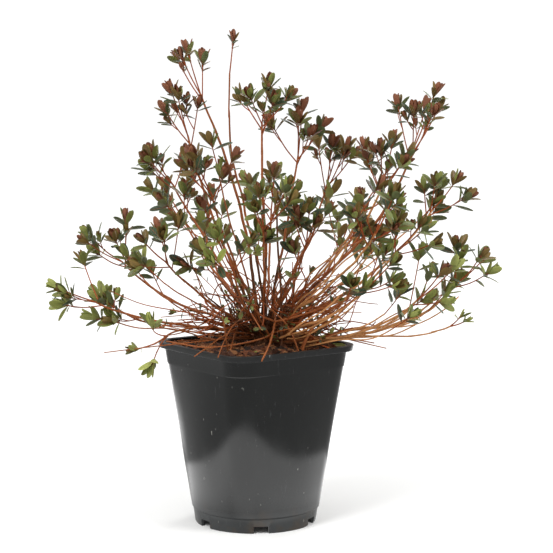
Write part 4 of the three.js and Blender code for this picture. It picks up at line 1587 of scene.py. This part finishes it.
class AzaleaWoodLook(PropertyGroup):
    """The foot, boughs and twigs."""

    beside: amount("Stems beside", "Thin stems that rise beside each long bough", 2)
    thicket: amount("Thicket", "Twigs begun low between the boughs", 560)
    relief: share("Furrows", "Depth of the bark's furrows, as a share of a limb's radius", 0.16)
    knot_gap: length("Scar spacing", "From one old leaf scar to the next", 0.011)
    old: shade("Old bark", "Bark near the foot", 96, 58, 36)
    middle: shade("Bark", "Bark of the boughs", 150, 84, 44)
    young: shade("Young bark", "Bark of this year's shoots", 152, 74, 34)
    shoot: shade("Shoots", "Bark of the finest shoots", 150, 66, 30)
    bud: shade("Buds", "Scales of the buds", 134, 80, 58)
    # Painted light: this paler bark goes on the boughs on the right, lighter for the light that falls on
    # that side.
    pale: shade("Pale bark", "Bark of the long low boughs", 198, 138, 86)
    speck: shade("Specks", "Pale specks on the bark", 200, 160, 118)


class AzaleaLeafLook(PropertyGroup):
    """The leaves."""

    length: length("Length", "Length of a full leaf", 0.0178)
    width: share("Width", "Width as a share of the length", 0.405)
    each: amount("Leaves in a rosette", "Leaves at the tip of a shoot", 9)
    gloss: share("Roughness", "How dull the upper side's gloss is", 0.34)
    midrib: shade("Midrib", "Colour of the midribs", 150, 92, 62)
    bronze: shade("Bronze", "Upper side of the youngest leaves", 116, 72, 50)
    bronze_below: shade("Bronze below", "Underside of the youngest leaves", 138, 88, 64)
    russet: shade("Russet", "Upper side of reddened leaves", 110, 96, 52)
    russet_below: shade("Russet below", "Underside of reddened leaves", 124, 102, 56)
    olive: shade("Olive", "Upper side of summer leaves", 106, 118, 64)
    olive_below: shade("Olive below", "Underside of summer leaves", 134, 142, 74)
    fresh: shade("Fresh", "Upper side of the brightest leaves", 136, 148, 76)
    fresh_below: shade("Fresh below", "Underside of the brightest leaves", 164, 172, 96)
    deep: shade("Deep", "Upper side of old leaves", 58, 76, 54)
    deep_below: shade("Deep below", "Underside of old leaves", 104, 116, 74)
    dry: shade("Dry", "Upper side of fallen leaves", 134, 88, 50)
    dry_below: shade("Dry below", "Underside of fallen leaves", 152, 108, 66)


class AzaleaStageLook(PropertyGroup):
    """The floor, lights and camera."""

    floor: shade("Floor", "Colour of the floor", 246, 246, 245)
    sky: FloatProperty(name="Sky", description="Strength of the even light from above", min=0, default=0.9)
    key: power("Key light", "Power of the large soft light", 42)
    fill: power("Fill light", "Power of the soft light on the right", 20)
    rim: power("Rim light", "Power of the soft light behind", 14)
    lens: FloatProperty(
        name="Lens",
        description="Focal length of the camera",
        subtype="DISTANCE_CAMERA",
        min=10,
        default=110.67,
    )
    away: length("Distance", "How far in front of the plant's axis the camera stands", 1.87)
    aside: length("Aside", "How far right of the pot's axis the camera stands", 0.0236)
    height: length("Height", "Height of the camera", 0.475)
    pitch: FloatProperty(
        name="Pitch",
        description="How far the camera looks down",
        subtype="ANGLE",
        default=math.radians(6.15),
    )


LOOKS = {
    "azalea_pot": AzaleaPotLook,
    "azalea_soil": AzaleaSoilLook,
    "azalea_wood": AzaleaWoodLook,
    "azalea_leaves": AzaleaLeafLook,
    "azalea_stage": AzaleaStageLook,
}


# ---- Stage -----------------------------------------------------------------------------------

# Sizes on the stage are in metres.
FLOOR_REACH = 9.0
SKY_LOW = 0.45  # the even light near the horizon, as a share of that from above
FLOOR_BOUNCE = 0.45  # light that the floor throws back at the plant
FLOOR_GLOW = 0.4  # evens the floor out towards the horizon
GLOW_FROM = 0.7  # from the pot
GLOW_TO = 2.6
TABLE_REACH = 0.24  # the white table that gloss mirrors ends here, and the dim room begins
TABLE_BRIGHT = 1.45
TABLE_EDGE = 0.01
ROOM_DIM = 0.36  # as a share of the table
BEHIND_BRIGHT = 3.0  # the stretch straight behind the pot, as a share of the table
BEHIND_FROM = (0.2, 0.4)  # where that stretch begins and where it is full
BEHIND_SIDES = (0.6, 0.84)  # and how nearly straight behind it lies, at its sides and within
NEAR_POT = (0.06, 0.13)  # the table is a little darker from here to there, a painted shadow of the pot
POT_SHADOW_DIM = 0.8
POT_REACH = 0.075  # from the pot's axis to its wall
STEEP_DIM = 0.25  # the table in the plant's own shade, where a mirrored ray falls steeply
STEEP_TO_FLAT = (0.35, 0.7)  # how far such a ray runs outwards, as a share of its length
SKY_BAND = (-0.1, 0.9)  # from how low to how high the even light grows
GLOSS_BAND = (-0.4, 0.5)  # from before the plant to behind it, the sky that gloss mirrors grows
GLOSS_SKY = (0.6, 1.3)
BACKDROP_BRIGHT = 1.08
WHITE = (1.0, 1.0, 1.0, 1.0)
BLACK = (0.0, 0.0, 0.0, 1.0)
LIGHTS_AIM = (0, 0, 0.3)
FLOOR_SIDES = 64


def soft_light(name, at, wide, power):
    lamp = bpy.data.lights.new(name, "AREA")
    lamp.shape = "DISK"
    lamp.size = wide
    lamp.energy = power
    light = bpy.data.objects.new(name, lamp)
    light.location = at
    light.rotation_euler = (Vector(LIGHTS_AIM) - Vector(at)).to_track_quat("-Z", "Y").to_euler()
    bpy.context.scene.collection.objects.link(light)


def studio_world(look):
    """Even light that is stronger from above, behind a plain white backdrop."""
    world = bpy.data.worlds.new("studio_light")
    world.use_nodes = True
    w = Wiring(world.node_tree)
    backdrop = world.node_tree.nodes["Background"]
    backdrop.inputs["Color"].default_value = WHITE
    direction = w.parted(w.add("ShaderNodeTexCoord").outputs["Generated"])
    path = w.add("ShaderNodeLightPath").outputs
    light = w.spread(direction[2], *SKY_BAND, look.sky * SKY_LOW, look.sky)
    gloss = w.spread(direction[1], *GLOSS_BAND, *GLOSS_SKY)
    gloss = w.math("ADD", w.times(path["Is Glossy Ray"], w.math("SUBTRACT", gloss, 1.0)), 1.0)
    inputs = {0: path["Is Camera Ray"], 2: w.times(light, gloss), 3: BACKDROP_BRIGHT}
    strength = w.add("ShaderNodeMix", inputs, data_type="FLOAT").outputs[0]
    w.set(backdrop.inputs["Strength"], strength)
    return world


def mirrored_room(w, ground, away, ray_length):
    """How bright the floor is to gloss: a white table, a dim room beyond and a bright stretch behind. It is
    a painted reflection: the floor glows with it for mirrored rays, though it is no lamp.
    """
    table = w.spread(away, TABLE_REACH - TABLE_EDGE, TABLE_REACH + TABLE_EDGE, 1.0, 0.0)
    straight = w.math("DIVIDE", w.parted(ground)[1], away)
    behind = w.times(w.spread(away, *BEHIND_FROM), w.spread(straight, *BEHIND_SIDES, 0.0, BEHIND_BRIGHT))
    bright = w.math("ADD", w.math("MAXIMUM", table, behind), ROOM_DIM)
    # Painted shadow of the pot on the table that gloss mirrors.
    bright = w.times(bright, w.spread(away, *NEAR_POT, POT_SHADOW_DIM, 1.0))
    flat = w.math("DIVIDE", w.math("SUBTRACT", away, POT_REACH), ray_length)
    bright = w.times(bright, w.spread(flat, *STEEP_TO_FLAT, STEEP_DIM, 1.0))
    return w.times(bright, TABLE_BRIGHT)


def floor_material(look):
    """White to the camera, duller in the light that it throws back, and glowing with a painted reflection
    where gloss mirrors it.
    """
    material, w, shader, _ = new_material("studio_floor")
    path = w.add("ShaderNodeLightPath").outputs
    seen = path["Is Camera Ray"]
    mirrored = path["Is Glossy Ray"]
    base = w.mixed(seen, (FLOOR_BOUNCE, FLOOR_BOUNCE, FLOOR_BOUNCE, 1.0), plain(look.floor))
    w.set(shader.inputs["Base Color"], w.mixed(mirrored, base, BLACK))
    shader.inputs["Emission Color"].default_value = WHITE
    ground = w.add("ShaderNodeTexCoord").outputs["Object"]
    away = w.add("ShaderNodeVectorMath", {0: ground}, operation="LENGTH").outputs["Value"]
    glow = w.times(seen, w.spread(away, GLOW_FROM, GLOW_TO, 0.0, FLOOR_GLOW))
    # A painted reflection: to mirrored rays the floor glows with a table, a dim room and a bright stretch,
    # though it is no lamp.
    bright = w.times(mirrored_room(w, ground, away, path["Ray Length"]), mirrored)
    w.set(shader.inputs["Emission Strength"], w.math("ADD", glow, bright))
    shader.inputs["Roughness"].default_value = 0.8
    shader.inputs["Specular IOR Level"].default_value = 0.1
    return material


def build_stage(look):
    scene = bpy.context.scene
    scene.view_settings.view_transform = "Standard"
    turns = [2 * math.pi * i / FLOOR_SIDES for i in range(FLOOR_SIDES)]
    points = [(FLOOR_REACH * math.cos(turn), FLOOR_REACH * math.sin(turn), 0.0) for turn in turns]
    made = bpy.data.meshes.new("studio_floor")
    made.from_pydata(points, [], [tuple(range(FLOOR_SIDES))])
    made.materials.append(floor_material(look))
    floor = bpy.data.objects.new("studio_floor", made)
    scene.collection.objects.link(floor)
    scene.world = studio_world(look)
    soft_light("key_light", (-1.3, -1.5, 1.9), 1.3, look.key)
    soft_light("fill_light", (1.6, -0.9, 1.5), 0.9, look.fill)
    soft_light("rim_light", (0.9, 1.7, 1.7), 1.0, look.rim)
    lens = bpy.data.cameras.new("camera")
    lens.lens = look.lens
    lens.sensor_width = 36
    camera = bpy.data.objects.new("camera", lens)
    camera.location = (look.aside, -look.away, look.height)
    camera.rotation_euler = (math.pi / 2 - look.pitch, 0, 0)
    scene.collection.objects.link(camera)
    scene.camera = camera


# ---- Operators and panel -----------------------------------------------------------------------


class AZALEA_OT_stage(Operator):
    """Lay the floor and set the lights and the camera"""

    bl_idname = "azalea.stage"
    bl_label = "Stage"

    def execute(self, context):
        build_stage(context.scene.azalea_stage)
        return {"FINISHED"}


class AZALEA_OT_pot(Operator):
    """Mould the nursery pot"""

    bl_idname = "azalea.pot"
    bl_label = "Pot"

    def execute(self, context):
        build_pot(context.scene.azalea_pot)
        return {"FINISHED"}


class AZALEA_OT_soil(Operator):
    """Fill the pot with soil and strew bark chips on it"""

    bl_idname = "azalea.soil"
    bl_label = "Soil and chips"

    def execute(self, context):
        build_soil(context.scene.azalea_soil)
        build_chips(context.scene.azalea_soil)
        return {"FINISHED"}


class AZALEA_OT_wood(Operator):
    """Grow the foot and the boughs with the bark's relief"""

    bl_idname = "azalea.wood"
    bl_label = "Foot and boughs"

    def execute(self, context):
        build_wood(context.scene.azalea_wood)
        return {"FINISHED"}


class AZALEA_OT_twigs(Operator):
    """Grow the stems, shoots, fine twigs and buds"""

    bl_idname = "azalea.twigs"
    bl_label = "Twigs and buds"

    def execute(self, context):
        build_twigs(context.scene.azalea_wood, growth_of(context.scene))
        return {"FINISHED"}


class AZALEA_OT_leaves(Operator):
    """Grow the leaves, each colour as one piece"""

    bl_idname = "azalea.leaves"
    bl_label = "Leaves"

    def execute(self, context):
        build_leaves(context.scene.azalea_leaves, growth_of(context.scene))
        build_fallen(context.scene.azalea_leaves)
        return {"FINISHED"}


def growth_of(scene):
    return Growth(scene.azalea_wood, scene.azalea_leaves)


OPERATORS = (
    AZALEA_OT_stage,
    AZALEA_OT_pot,
    AZALEA_OT_soil,
    AZALEA_OT_wood,
    AZALEA_OT_twigs,
    AZALEA_OT_leaves,
)


class AZALEA_PT_panel(Panel):
    """The azalea's pieces, with their sizes and colours"""

    bl_idname = "AZALEA_PT_panel"
    bl_label = "Potted azalea"
    bl_space_type = "VIEW_3D"
    bl_region_type = "UI"
    bl_category = "Azalea"

    def draw(self, context):
        for operator in OPERATORS:
            self.layout.operator(operator.bl_idname)
        for holder, look in LOOKS.items():
            box = self.layout.box()
            box.label(text=look.__doc__)
            for name in look.__annotations__:
                box.prop(getattr(context.scene, holder), name)


CLASSES = (*LOOKS.values(), *OPERATORS, AZALEA_PT_panel)


def register():
    for one in CLASSES:
        bpy.utils.register_class(one)
    for holder, look in LOOKS.items():
        setattr(bpy.types.Scene, holder, PointerProperty(type=look))


def unregister():
    for holder in LOOKS:
        delattr(bpy.types.Scene, holder)
    for one in reversed(CLASSES):
        bpy.utils.unregister_class(one)


def main():
    register()
    bpy.ops.azalea.stage()
    bpy.ops.azalea.pot()
    bpy.ops.azalea.soil()
    bpy.ops.azalea.wood()
    bpy.ops.azalea.twigs()
    bpy.ops.azalea.leaves()
    bpy.context.view_layer.update()


if __name__ == "__main__":
    main()
